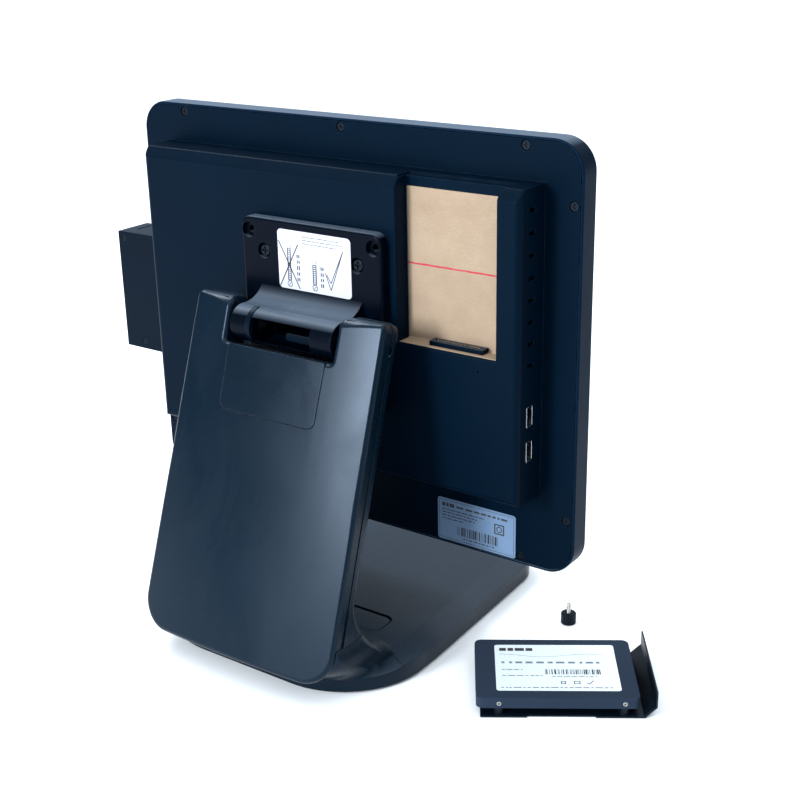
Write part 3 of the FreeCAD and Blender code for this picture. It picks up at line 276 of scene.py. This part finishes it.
def kraft(name, line_height, line_half):
    """Brown insulating card: mottled fibres, faint creases, and one thin printed red line."""
    s = Shader(name)
    fibre = s.noise(900.0, 5.0, 0.7, (0.4, 1.0, 1.0))
    mottled = s.noise(60.0, 5.0, 0.6)
    cloud = s.noise(18.0, 3.0, 0.6, None, 0.4)
    colour = s.blend(s.remap(mottled, 0.3, 0.7, 0.0, 1.0), (0.265, 0.192, 0.132), (0.315, 0.236, 0.167))
    colour = s.blend(s.remap(fibre, 0.35, 0.7, 0.0, 0.45), colour, (0.23, 0.16, 0.104))
    colour = s.blend(s.remap(cloud, 0.35, 0.7, 0.0, 0.3), colour, (0.36, 0.275, 0.202))
    wobble = s.remap(s.noise(120.0, 2.0), 0.3, 0.7, -0.00012, 0.00012)
    height = s.math("ADD", s.math("SUBTRACT", s.axis("Z"), line_height), wobble)
    distance = s.math("ABSOLUTE", height)
    line = s.math("LESS_THAN", distance, line_half)
    faded = s.remap(s.noise(500.0, 3.0), 0.3, 0.6, 0.75, 1.0)
    colour = s.blend(s.math("MULTIPLY", line, faded), colour, (0.38, 0.015, 0.04))
    return s.finish(colour, s.remap(fibre, 0.3, 0.7, 0.62, 0.8), s.bump(fibre, 0.00004),
                    Specular_IOR_Level=0.2)


def label_film(name, base, rough=0.32):
    """Printed label stock: a slight cast, tiny creases and a soft sheen."""
    s = Shader(name)
    cloud = s.noise(30.0, 3.0, 0.6)
    fine = s.noise(700.0, 3.0, 0.6)
    colour = s.blend(s.remap(cloud, 0.3, 0.7, 0.0, 1.0), shade(base, 0.94), shade(base, 1.04))
    return s.finish(colour, s.remap(fine, 0.3, 0.7, rough - 0.05, rough + 0.08), s.bump(fine, 0.000012),
                    Specular_IOR_Level=0.4)


def ink(name, base):
    s = Shader(name)
    fine = s.noise(1200.0, 3.0, 0.7)
    colour = s.blend(s.remap(fine, 0.35, 0.7, 0.0, 1.0), base, tuple(c + 0.03 for c in base))
    return s.finish(colour, s.remap(fine, 0.3, 0.7, 0.4, 0.55), s.bump(fine, 0.000006),
                    Specular_IOR_Level=0.3)


# ---------------------------------------------------------------- materials

ARM_AXIS = frame["record"]["behaviour"]["joints"][0]["pos_m"][2]      # height of the tilt hinge
BLUE = (0.38, 0.66, 1.0)        # cast of the sheen on the painted shell
COOL = (0.62, 0.76, 0.95)       # and on the moulded leg and base, which mirror more at a low angle
PAINT = coated("painted_shell", (0.0003, 0.0036, 0.0095), 0.42, 0.045, BLUE, 1100.0, 0.000035, 0.9)
# Lit copy of the shell paint for the bezel frame: a lighter base and painted top light paling its level
# faces. The rear cover keeps the plain paint, so its top ledge stays dark as painted shade.
LIT_FRAME_PAINT = coated("frame_shell_lit", (0.0006, 0.0060, 0.0160), 0.42, 0.045, BLUE, 1100.0, 0.000035, 0.9, paling=0.7)
# Leg and base: a little paling on level faces, partly dust and partly painted top light.
MOULD = coated("moulded_shell", (0.0008, 0.0056, 0.0122), 0.29, 0.19, COOL, 1900.0, 0.00002, 0.6,
               paling=0.19)
# Arm: the paling on its level faces above the hinge is a painted highlight on the neck's top, with some
# dust.
CAST = coated("cast_arm", (0.0002, 0.0012, 0.0040), 0.30, 0.05, COOL, 1300.0, 0.00003, 0.5,
              paling=0.50, level=0.62, above=ARM_AXIS + 0.005)
# Black plastic: a little paling on level faces, partly dust and partly painted top light.
BLACK = coated("black_plastic", (0.0003, 0.0026, 0.0070), 0.42, 0.065, BLUE, 1600.0, 0.00003, 0.5,
               paling=0.2)
SHEET = coated("black_sheet", (0.0010, 0.0035, 0.0070), 0.38, 0.25, COOL, 1200.0, 0.00002, 0.6, 0.0004)
CASE = coated("ssd_metal", (0.0172, 0.0262, 0.0440), 0.45, 0.035, BLUE, 1500.0, 0.00002, 0.8, 0.0004)
DARK = brushed("dark_screw", (0.010, 0.014, 0.020), 0.38, (1.0, 6.0, 1.0))
STEEL = brushed("plated_steel", (0.52, 0.52, 0.50), 0.30, (1.0, 1.0, 8.0))
BRIGHT = brushed("bright_metal", (0.66, 0.67, 0.69), 0.22, (8.0, 1.0, 1.0))
ALLOY = brushed("heat_alloy", (0.60, 0.61, 0.62), 0.34, (1.0, 1.0, 10.0))
GOLD = brushed("gold_contact", (0.80, 0.56, 0.22), 0.25, (1.0, 1.0, 6.0))
RUBBER = rubber("rubber_black")
SCREEN_HALF = 0.1524            # half the width of the active area
SCREEN_BORDER = 0.0222          # printed border above and below it
GLASS_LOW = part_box("touch_glass")[0].z
GLASS_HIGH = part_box("touch_glass")[1].z
GLASS = screen_glass("screen_glass", SCREEN_HALF, GLASS_LOW + SCREEN_BORDER, GLASS_HIGH - SCREEN_BORDER)
PANEL = coated("panel_black", (0.004, 0.004, 0.005), 0.30, 0.5, (1.0, 1.0, 1.0), 1500.0, 0.00001, 0.2)
BOARD = circuit("board_green")
CARD_LINE_UP = 0.04875          # the card's red line, above its lower edge
CARD_LINE_HALF = 0.00055
KRAFT = kraft("kraft_card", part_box("insulating_sheet")[0].z + CARD_LINE_UP, CARD_LINE_HALF)
PAPER = label_film("label_paper", (0.47, 0.49, 0.56))
PAPER_BLUE = label_film("blue_label", (0.64, 0.73, 0.78), 0.26)
PAPER_RATING = label_film("label_rating", (0.12, 0.19, 0.30), 0.30)
INK = ink("ink_black", (0.012, 0.013, 0.017))
INK_GREY = ink("ink_grey", (0.14, 0.16, 0.20))

FINISH = {"painted_shell": PAINT, "moulded_shell": MOULD, "cast_arm": CAST, "black_plastic": BLACK,
          "dark_screw": DARK, "plated_steel": STEEL, "bright_metal": BRIGHT, "black_sheet": SHEET,
          "ssd_metal": CASE, "screen_glass": GLASS, "panel_black": PANEL, "rubber_black": RUBBER,
          "board_green": BOARD, "heat_alloy": ALLOY, "kraft_card": KRAFT, "label_paper": PAPER,
          "label_dark": PAPER_RATING, "blue_label": PAPER_BLUE, "gold_contact": GOLD}


def dress_cad_nodes():
    """Gives each CAD node the finish that the record's slot for it names; the bezel frame gets instead the
    lit copy of the shell paint, with its painted top light.
    """
    for part in frame["record"]["subparts"]:
        node = frame["nodes"][part["node"]]
        finish = LIT_FRAME_PAINT if part["node"] == "bezel_frame" else FINISH[part["material_slot"]]
        if not node.data.materials:
            node.data.materials.append(finish)
        for index in range(len(node.data.materials)):
            node.data.materials[index] = finish


# ---------------------------------------------------------------- mesh helpers

def piece(name, bm, material, body, smooth=False):
    bmesh.ops.recalc_face_normals(bm, faces=bm.faces)
    mesh = bpy.data.meshes.new(name)
    bm.to_mesh(mesh)
    bm.free()
    mesh.materials.append(material)
    for polygon in mesh.polygons:
        polygon.use_smooth = smooth
    obj = bpy.data.objects.new(name, mesh)
    bpy.context.scene.collection.objects.link(obj)
    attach(obj, body)
    return obj


def add_prism(bm, outline, place, height):
    """Closed prism over a flat outline; place(u, v, h) gives the point in space."""
    low = [bm.verts.new(place(u, v, 0.0)) for u, v in outline]
    high = [bm.verts.new(place(u, v, height)) for u, v in outline]
    count = len(outline)
    bm.faces.new(low)
    bm.faces.new(high[::-1])
    for i in range(count):
        j = (i + 1) % count
        bm.faces.new((low[i], low[j], high[j], high[i]))


def bar(u0, v0, u1, v1):
    return [(u0, v0), (u1, v0), (u1, v1), (u0, v1)]


def stroke(start, end, width):
    """Outline of a straight pen stroke between two points."""
    du = end[0] - start[0]
    dv = end[1] - start[1]
    size = math.hypot(du, dv)
    nu = -dv / size * width / 2
    nv = du / size * width / 2
    return [(start[0] + nu, start[1] + nv), (start[0] - nu, start[1] - nv),
            (end[0] - nu, end[1] - nv), (end[0] + nu, end[1] + nv)]


def ring_strokes(centre, radius, width, steps=20):
    points = [(centre[0] + radius * math.cos(2 * math.pi * k / steps),
               centre[1] + radius * math.sin(2 * math.pi * k / steps)) for k in range(steps + 1)]
    return [stroke(points[k], points[k + 1], width) for k in range(steps)]


def frame_strokes(u0, v0, u1, v1, width):
    return [bar(u0, v0, u1, v0 + width), bar(u0, v1 - width, u1, v1),
            bar(u0, v0 + width, u0 + width, v1 - width), bar(u1 - width, v0 + width, u1, v1 - width)]


def words(rng, u0, u1, v, height, longest=5.0):
    """A line of dashes that stands for a line of small print."""
    shapes = []
    u = u0
    while u < u1 - height:
        size = min(rng.uniform(0.25, 1.0) * longest, u1 - u)
        shapes.append(bar(u, v, u + size, v + height))
        u += size + height * rng.uniform(0.8, 1.3)
    return shapes


def bar_code(rng, u0, u1, v0, v1, module=0.33):
    shapes = []
    u = u0
    while u < u1 - 3 * module:
        size = module * rng.choice((1, 1, 2, 3))
        shapes.append(bar(u, v0, u + size, v1))
        u += size + module * rng.choice((1, 1, 2, 3))
    return shapes


def printed(name, shapes, place, body, material=None, height=0.02):
    bm = bmesh.new()
    for outline in shapes:
        add_prism(bm, outline, place, height * MM)
    return piece(name, bm, material or INK, body)


# ---------------------------------------------------------------- labels, laid out in mm

PRINT_GAP = 0.00001              # print lies this far off its label


def label_place(node):
    """Label on a rear-facing surface: u runs along -X from its +X edge, v runs up, both in mm."""
    low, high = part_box(node)
    return lambda u, v, h: (high.x - u * MM, high.y + PRINT_GAP + h, low.z + v * MM)


def screw_sign(centre, head_v, top_v, half, threads):
    """Side view of a small screw standing on its round head."""
    shapes = ring_strokes((centre, head_v), 1.9, 0.5)
    shapes.append(stroke((centre - 0.9, head_v - 0.9), (centre + 0.9, head_v + 0.9), 0.45))
    shapes.append(bar(centre - half, head_v + 2.1, centre - half + 0.7, top_v))
    shapes.append(bar(centre + half - 0.7, head_v + 2.1, centre + half, top_v))
    for k in range(threads):
        v = head_v + 2.4 + (top_v - head_v - 2.8) * k / (threads - 1)
        shapes.append(stroke((centre - half, v), (centre + half, v + 0.35), 0.5))
    shapes.append(bar(centre - half - 0.9, top_v + 0.9, centre - 0.5, top_v + 1.2))
    shapes.append(bar(centre + 0.5, top_v + 0.9, centre + half + 0.9, top_v + 1.2))
    shapes.append(bar(centre - half - 0.2, top_v + 2.4, centre - 0.4, top_v + 2.7))
    shapes.append(bar(centre + 0.4, top_v + 2.4, centre + half + 0.2, top_v + 2.7))
    return shapes


def plate_label_print():
    """Pictogram: the long screw is crossed out, the short one has a tick."""
    rng = random.Random(11)
    place = label_place("vesa_label")
    shapes = screw_sign(9.0, 3.4, 27.0, 1.5, 17)
    shapes += [stroke((0.7, 31.0), (17.2, 0.9), 0.85), stroke((16.6, 30.0), (0.9, 1.4), 0.85)]
    shapes += screw_sign(29.5, 3.4, 18.5, 1.6, 10)
    for u, v_low, v_high in ((15.2, 6.0, 26.0), (34.4, 4.5, 21.0)):
        v = v_low
        while v < v_high - 2.4:
            size = rng.uniform(1.7, 2.7)
            shapes.append(bar(u, v, u + 0.9, v + size))
            shapes.append(bar(u + 1.5, v, u + 2.4, v + size))
            v += size + 1.5
    tick = [(38.2, 14.4), (42.4, 3.6), (52.6, 30.0)]
    shapes += [stroke(tick[0], tick[1], 0.6), stroke(tick[1], tick[2], 0.6)]
    inner = [(39.4, 13.2), (42.5, 8.2), (52.6, 30.0)]
    shapes += [stroke(inner[0], inner[1], 0.6), stroke(inner[1], inner[2], 0.6)]
    printed("plate_label_signs", shapes, place, "head")
    small = []
    for row, reach in enumerate((50.0, 52.0, 47.0)):
        small += words(rng, 20.0, reach, 35.2 - 2.2 * row, 0.7, 4.0)
    printed("plate_label_small_print", small, place, "head", INK_GREY)


def rating_label_print():
    rng = random.Random(23)
    place = label_place("rating_label")
    shapes = frame_strokes(1.2, 1.2, 58.9, 29.1, 0.28)
    shapes += [bar(3.4, 24.4, 6.0, 27.0), bar(6.8, 24.4, 8.6, 27.0), bar(9.4, 24.4, 13.0, 27.0)]
    shapes += words(rng, 14.5, 56.0, 24.9, 1.3, 6.0)
    for v, reach in ((21.9, 36.0), (19.7, 31.0), (17.5, 29.0), (15.3, 20.0)):
        shapes += words(rng, 3.4, reach, v, 0.75, 4.5)
    shapes += bar_code(rng, 15.5, 47.5, 5.4, 11.8, 0.42)
    shapes += words(rng, 20.0, 44.0, 3.2, 0.8, 3.0)
    shapes += frame_strokes(44.0, 14.0, 51.6, 21.4, 0.9)
    shapes += ring_strokes((47.8, 17.7), 1.9, 0.7)
    printed("rating_label_print", shapes, place, "head")


DRIVE_TURN = math.radians(213.0)       # how the drive lies on the counter
DRIVE_LABEL_HALF = (38.3, 26.95)       # half the drive label's length and width


def drive_place(height):
    """Label of the drive: u runs along the drive from its plug end, v away from its near side, in mm."""
    low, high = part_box("ssd_label")
    middle = (low + high) / 2
    along = Vector((math.cos(DRIVE_TURN), math.sin(DRIVE_TURN), 0))
    across = Vector((-math.sin(DRIVE_TURN), math.cos(DRIVE_TURN), 0))

    def place(u, v, h):
        point = middle + along * ((u - DRIVE_LABEL_HALF[0]) * MM)
        point += across * ((v - DRIVE_LABEL_HALF[1]) * MM)
        return (point.x, point.y, height + h)

    return place


def drive_label_print():
    rng = random.Random(37)
    place = drive_place(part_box("ssd_label")[1].z + PRINT_GAP)
    dark = [bar(3.0, 46.4, 7.4, 50.0), bar(8.4, 46.4, 12.0, 50.0), bar(13.0, 46.4, 19.0, 50.0),
            bar(20.0, 46.4, 24.4, 50.0)]
    dark += bar_code(rng, 31.0, 66.0, 18.6, 24.4, 0.36)
    dark += frame_strokes(40.0, 7.6, 43.0, 10.8, 0.6)
    dark += frame_strokes(48.0, 7.6, 52.0, 10.8, 0.6)
    dark += [stroke((56.0, 9.0), (57.4, 7.6), 0.6), stroke((57.4, 7.6), (60.4, 11.4), 0.6)]
    printed("drive_label_print", dark, place, "drive")
    pale = words(rng, 4.0, 66.0, 31.4, 2.2, 7.0)
    pale += words(rng, 4.0, 17.0, 23.6, 0.9, 4.0) + words(rng, 4.0, 30.0, 16.6, 0.9, 5.0)
    pale += words(rng, 35.0, 63.0, 15.8, 0.8, 4.0) + words(rng, 3.0, 73.0, 3.0, 1.0, 5.0)
    swoosh = [(3.0 + 6.0 * k, 42.6 - 3.4 * math.sin(math.pi * min(k / 9.0, 1.0)) ** 2) for k in range(12)]
    pale += [stroke(swoosh[k], swoosh[k + 1], 0.35) for k in range(len(swoosh) - 1)]
    printed("drive_label_small_print", pale, place, "drive", INK_GREY)


# ---------------------------------------------------------------- card in the drive bay

CARD_THICK = 0.25 * MM
CARD_BEND = 1.2 * MM             # radius where the lip turns up
CARD_COLUMNS = 56
CARD_ROWS = 76
LIP_ROWS = 8
BEND_ROWS = 7
CREASES = 6
CREASE_HALF = 0.022              # half width of a crease, as a share of the card


def card_line(low, high):
    """Side view of the card from its front lip, round the bend and up: (y, z, normal y, normal z) rows."""
    lip_end = low.y + CARD_BEND
    rows = [(high.y + (lip_end - high.y) * k / LIP_ROWS, low.z, 0.0, 1.0) for k in range(LIP_ROWS)]
    for k in range(BEND_ROWS):
        angle = math.pi / 2 * k / (BEND_ROWS - 1)
        y = lip_end - CARD_BEND * math.sin(angle)
        z = low.z + CARD_BEND - CARD_BEND * math.cos(angle)
        rows.append((y, z, math.sin(angle), math.cos(angle)))
    start = low.z + CARD_BEND
    rise = (high.z - start) / CARD_ROWS
    rows += [(low.y, start + rise * (k + 1), 1.0, 0.0) for k in range(CARD_ROWS)]
    return rows


def card_creases(low, high):
    """Height of the soft creases over the upright part of the card, as a function of place."""
    rng = random.Random(5)
    creases = []
    for k in range(CREASES):
        place = (rng.uniform(0.0, 1.0), rng.uniform(0.15, 1.0))
        creases.append((*place, rng.uniform(0, math.pi), rng.uniform(0.5, 1.0)))

    def height(s, z):
        t = (z - low.z) / (high.z - low.z)
        total = 0.25 * math.sin(2.1 * math.pi * s + 0.8) * math.sin(1.3 * math.pi * t)
        for cs, ct, angle, power in creases:
            across = (s - cs) * math.cos(angle) + (t - ct) * 1.35 * math.sin(angle)
            total += power * math.exp(-(across / CREASE_HALF) ** 2) * 0.35
        border = min(s, 1 - s, 1 - t) / 0.04
        clear_of_socket = min(max((t - 0.06) / 0.1, 0.0), 1.0)
        return max(0.0, total) * min(border, 1.0) * clear_of_socket * 0.3 * MM

    return height


def bay_card():
    """Insulating card: a thin closed sheet, softly creased, with a lip over the bay's lower wall."""
    low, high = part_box("insulating_sheet")
    columns = CARD_COLUMNS
    line = card_line(low, high)
    height = card_creases(low, high)
    bm = bmesh.new()
    back = []
    front = []
    for y, z, ny, nz in line:
        row_back = []
        row_front = []
        for i in range(columns + 1):
            s = i / columns
            x = low.x + (high.x - low.x) * s
            rise = height(s, z)
            row_back.append(bm.verts.new((x, y + rise * 0.6, z)))
            row_front.append(bm.verts.new((x, y + ny * CARD_THICK + rise, z + nz * CARD_THICK)))
        back.append(row_back)
        front.append(row_front)
    rows = len(line) - 1
    for j in range(rows):
        for i in range(columns):
            for sheet in (back, front):
                bm.faces.new((sheet[j][i], sheet[j][i + 1], sheet[j + 1][i + 1], sheet[j + 1][i]))
    for i in range(columns):
        for j in (0, rows):
            bm.faces.new((back[j][i], back[j][i + 1], front[j][i + 1], front[j][i]))
    for j in range(rows):
        for i in (0, columns):
            bm.faces.new((back[j][i], back[j + 1][i], front[j + 1][i], front[j][i]))
    card = piece("bay_card", bm, KRAFT, "head", True)
    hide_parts("insulating_sheet")


# ---------------------------------------------------------------- contacts

CONTACTS = 22                             # in each row
SOCKET_CONTACT = (0.0007, 0.0003, 0.0018)
SOCKET_END = 0.0035                       # from the socket's end to its first contact
SOCKET_PLACE = (0.0028, 0.0019)           # of the row, from the socket's low y and z
PLUG_CONTACT = (0.0044, 0.0008, 0.00008)
PLUG_PITCH = 0.0016
PLUG_BACK = -0.0008                       # of the row, along the drive from the plug's middle


def add_contact(bm, centre, size, turn=Matrix.Identity(4)):
    place = Matrix.Translation(centre) @ turn @ Matrix.Diagonal((*size, 1.0))
    bmesh.ops.create_cube(bm, size=1.0, matrix=place)


def socket_contacts():
    """Gold contacts inside the drive connector of the bay."""
    low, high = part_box("sata_socket")
    bm = bmesh.new()
    for k in range(CONTACTS):
        x = low.x + SOCKET_END + (high.x - low.x - 2 * SOCKET_END) * k / (CONTACTS - 1)
        centre = Vector((x, low.y + SOCKET_PLACE[0], low.z + SOCKET_PLACE[1]))
        add_contact(bm, centre, SOCKET_CONTACT)
    piece("socket_contacts", bm, GOLD, "head")


def plug_contacts():
    """Gold contacts on the drive's own plug."""
    low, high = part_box("ssd_plug")
    middle = (low + high) / 2
    turn = Matrix.Rotation(DRIVE_TURN, 4, "Z")
    bm = bmesh.new()
    for k in range(CONTACTS):
        offset = turn @ Vector((PLUG_BACK, (k - (CONTACTS - 1) / 2) * PLUG_PITCH, 0.0))
        centre = Vector((middle.x, middle.y, high.z + PLUG_CONTACT[2] / 2)) + offset
        add_contact(bm, centre, PLUG_CONTACT, turn)
    piece("plug_contacts", bm, GOLD, "drive")


# ---------------------------------------------------------------- thumbscrew

THREAD_PITCH = 0.0005
THREAD_DEPTH = 0.00028
THREAD_TAPER = 0.0006            # length of the tapered tip
THREAD_TIP_IN = 0.0005           # how far the tip draws in
THREAD_SIDES = 28
THREAD_ROWS_PER_TURN = 8


def thumb_thread():
    """Thumbscrew shank with a real helical thread."""
    low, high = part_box("thumb_shank")
    middle = (low + high) / 2
    outer = (high.x - low.x) / 2
    sides = THREAD_SIDES
    rows = int((high.z - low.z) / THREAD_PITCH * THREAD_ROWS_PER_TURN)
    bm = bmesh.new()
    rings = []
    for j in range(rows + 1):
        z = low.z + (high.z - low.z) * j / rows
        ring = []
        for i in range(sides):
            angle = 2 * math.pi * i / sides
            phase = (z / THREAD_PITCH - i / sides) % 1.0
            radius = outer - THREAD_DEPTH * abs(2.0 * phase - 1.0)
            taper = min((high.z - z) / THREAD_TAPER, 1.0)
            radius = min(radius, outer - THREAD_TIP_IN * (1.0 - taper))
            ring.append(bm.verts.new((middle.x + radius * math.cos(angle),
                                      middle.y + radius * math.sin(angle), z)))
        rings.append(ring)
    for j in range(rows):
        for i in range(sides):
            k = (i + 1) % sides
            bm.faces.new((rings[j][i], rings[j][k], rings[j + 1][k], rings[j + 1][i]))
    bm.faces.new(rings[0][::-1])
    bm.faces.new(rings[-1])
    thread = piece("thumb_thread", bm, STEEL, "thumbscrew")
    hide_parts("thumb_shank")


# ---------------------------------------------------------------- studio

CAMERA_AT = Vector((-0.5333, 0.6807, 0.4734))
CAMERA_HEADING = math.radians(35.57)     # turned from -Y towards +X
CAMERA_DROP = math.radians(20.49)        # looks down by this much
CAMERA_ROLL = math.radians(-1.12)
CAMERA_LENS = 61.25                      # mm on a 36 mm sensor


def camera():
    forward = Vector((math.sin(CAMERA_HEADING) * math.cos(CAMERA_DROP),
                      -math.cos(CAMERA_HEADING) * math.cos(CAMERA_DROP), -math.sin(CAMERA_DROP)))
    right = forward.cross(Vector((0, 0, 1))).normalized()
    up = right.cross(forward)
    right_rolled = right * math.cos(CAMERA_ROLL) + up * math.sin(CAMERA_ROLL)
    up_rolled = up * math.cos(CAMERA_ROLL) - right * math.sin(CAMERA_ROLL)
    data = bpy.data.cameras.new("camera")
    data.lens = CAMERA_LENS
    data.sensor_width = 36.0
    data.clip_start = 0.01
    data.clip_end = 60.0
    obj = bpy.data.objects.new("camera", data)
    turn = Matrix((right_rolled, up_rolled, -forward)).transposed().to_4x4()
    obj.matrix_world = Matrix.Translation(CAMERA_AT) @ turn
    bpy.context.scene.collection.objects.link(obj)
    bpy.context.scene.camera = obj


LIT = Vector((0.0, 0.05, 0.16))   # the lights point here


def soft_box(name, at, width, height, power, colour):
    data = bpy.data.lights.new(name, "AREA")
    data.shape = "RECTANGLE"
    data.size = width
    data.size_y = height
    data.energy = power
    data.color = colour
    obj = bpy.data.objects.new(name, data)
    obj.location = at
    obj.rotation_euler = (LIT - Vector(at)).to_track_quat("-Z", "Y").to_euler()
    bpy.context.scene.collection.objects.link(obj)


FLOOR_HALF = 24.0
FLOOR_GAP = 0.0002               # keeps the floor clear of the pads


def floor():
    bm = bmesh.new()
    bmesh.ops.create_grid(bm, x_segments=4, y_segments=4, size=FLOOR_HALF)
    mesh = bpy.data.meshes.new("floor")
    bm.to_mesh(mesh)
    bm.free()
    s = Shader("floor")
    cloud = s.noise(1.5, 2.0)
    colour = s.blend(s.remap(cloud, 0.3, 0.7, 0.0, 1.0), (0.885, 0.915, 0.955), (0.905, 0.935, 0.965))
    mesh.materials.append(s.finish(colour, 0.75, None, Specular_IOR_Level=0.1))
    obj = bpy.data.objects.new("floor", mesh)
    obj.location.z = CAD_LOW.z - FLOOR_GAP
    bpy.context.scene.collection.objects.link(obj)


SKY_SEEN = 1.2                   # strength of the tent where it is seen directly
SKY_RAMPS = (("Z", 0.25, 0.85, 0.32, 2.35),      # direction, from, to, first and last strength
             ("X", 0.1, 0.8, 1.0, 0.35))


def sky():
    """Soft white tent: its light is dim low down and on the +X side; seen directly it is white."""
    world = bpy.data.worlds.new("world")
    world.use_nodes = True
    tree = world.node_tree
    tent = tree.nodes["Background"]
    tent.inputs["Color"].default_value = (0.90, 0.955, 1.0, 1.0)
    where = tree.nodes.new("ShaderNodeTexCoord")
    split = tree.nodes.new("ShaderNodeSeparateXYZ")
    tree.links.new(where.outputs["Generated"], split.inputs[0])
    factors = []
    for letter, start, end, first, last in SKY_RAMPS:
        ramp = tree.nodes.new("ShaderNodeMapRange")
        ramp.inputs["From Min"].default_value = start
        ramp.inputs["From Max"].default_value = end
        ramp.inputs["To Min"].default_value = first
        ramp.inputs["To Max"].default_value = last
        tree.links.new(split.outputs[letter], ramp.inputs["Value"])
        factors.append(ramp.outputs[0])
    product = tree.nodes.new("ShaderNodeMath")
    product.operation = "MULTIPLY"
    tree.links.new(factors[0], product.inputs[0])
    tree.links.new(factors[1], product.inputs[1])
    seen = tree.nodes.new("ShaderNodeLightPath")
    choice = tree.nodes.new("ShaderNodeMix")
    choice.inputs["B"].default_value = SKY_SEEN
    tree.links.new(seen.outputs["Is Camera Ray"], choice.inputs["Factor"])
    tree.links.new(product.outputs[0], choice.inputs["A"])
    tree.links.new(choice.outputs["Result"], tent.inputs["Strength"])
    bpy.context.scene.world = world


def studio():
    sky()
    soft_box("rear_box", (0.56, 2.15, 0.84), 0.46, 0.8, 72.0, (0.93, 0.97, 1.0))
    soft_box("top_box", (1.00, -0.20, 1.50), 0.6, 0.6, 14.0, (0.95, 0.98, 1.0))
    bpy.context.scene.view_settings.view_transform = "Standard"
    bpy.context.scene.view_settings.look = "None"


# ---------------------------------------------------------------- build

dress_cad_nodes()
plate_label_print()
rating_label_print()
drive_label_print()
bay_card()
socket_contacts()
plug_contacts()
thumb_thread()
camera()
floor()
studio()
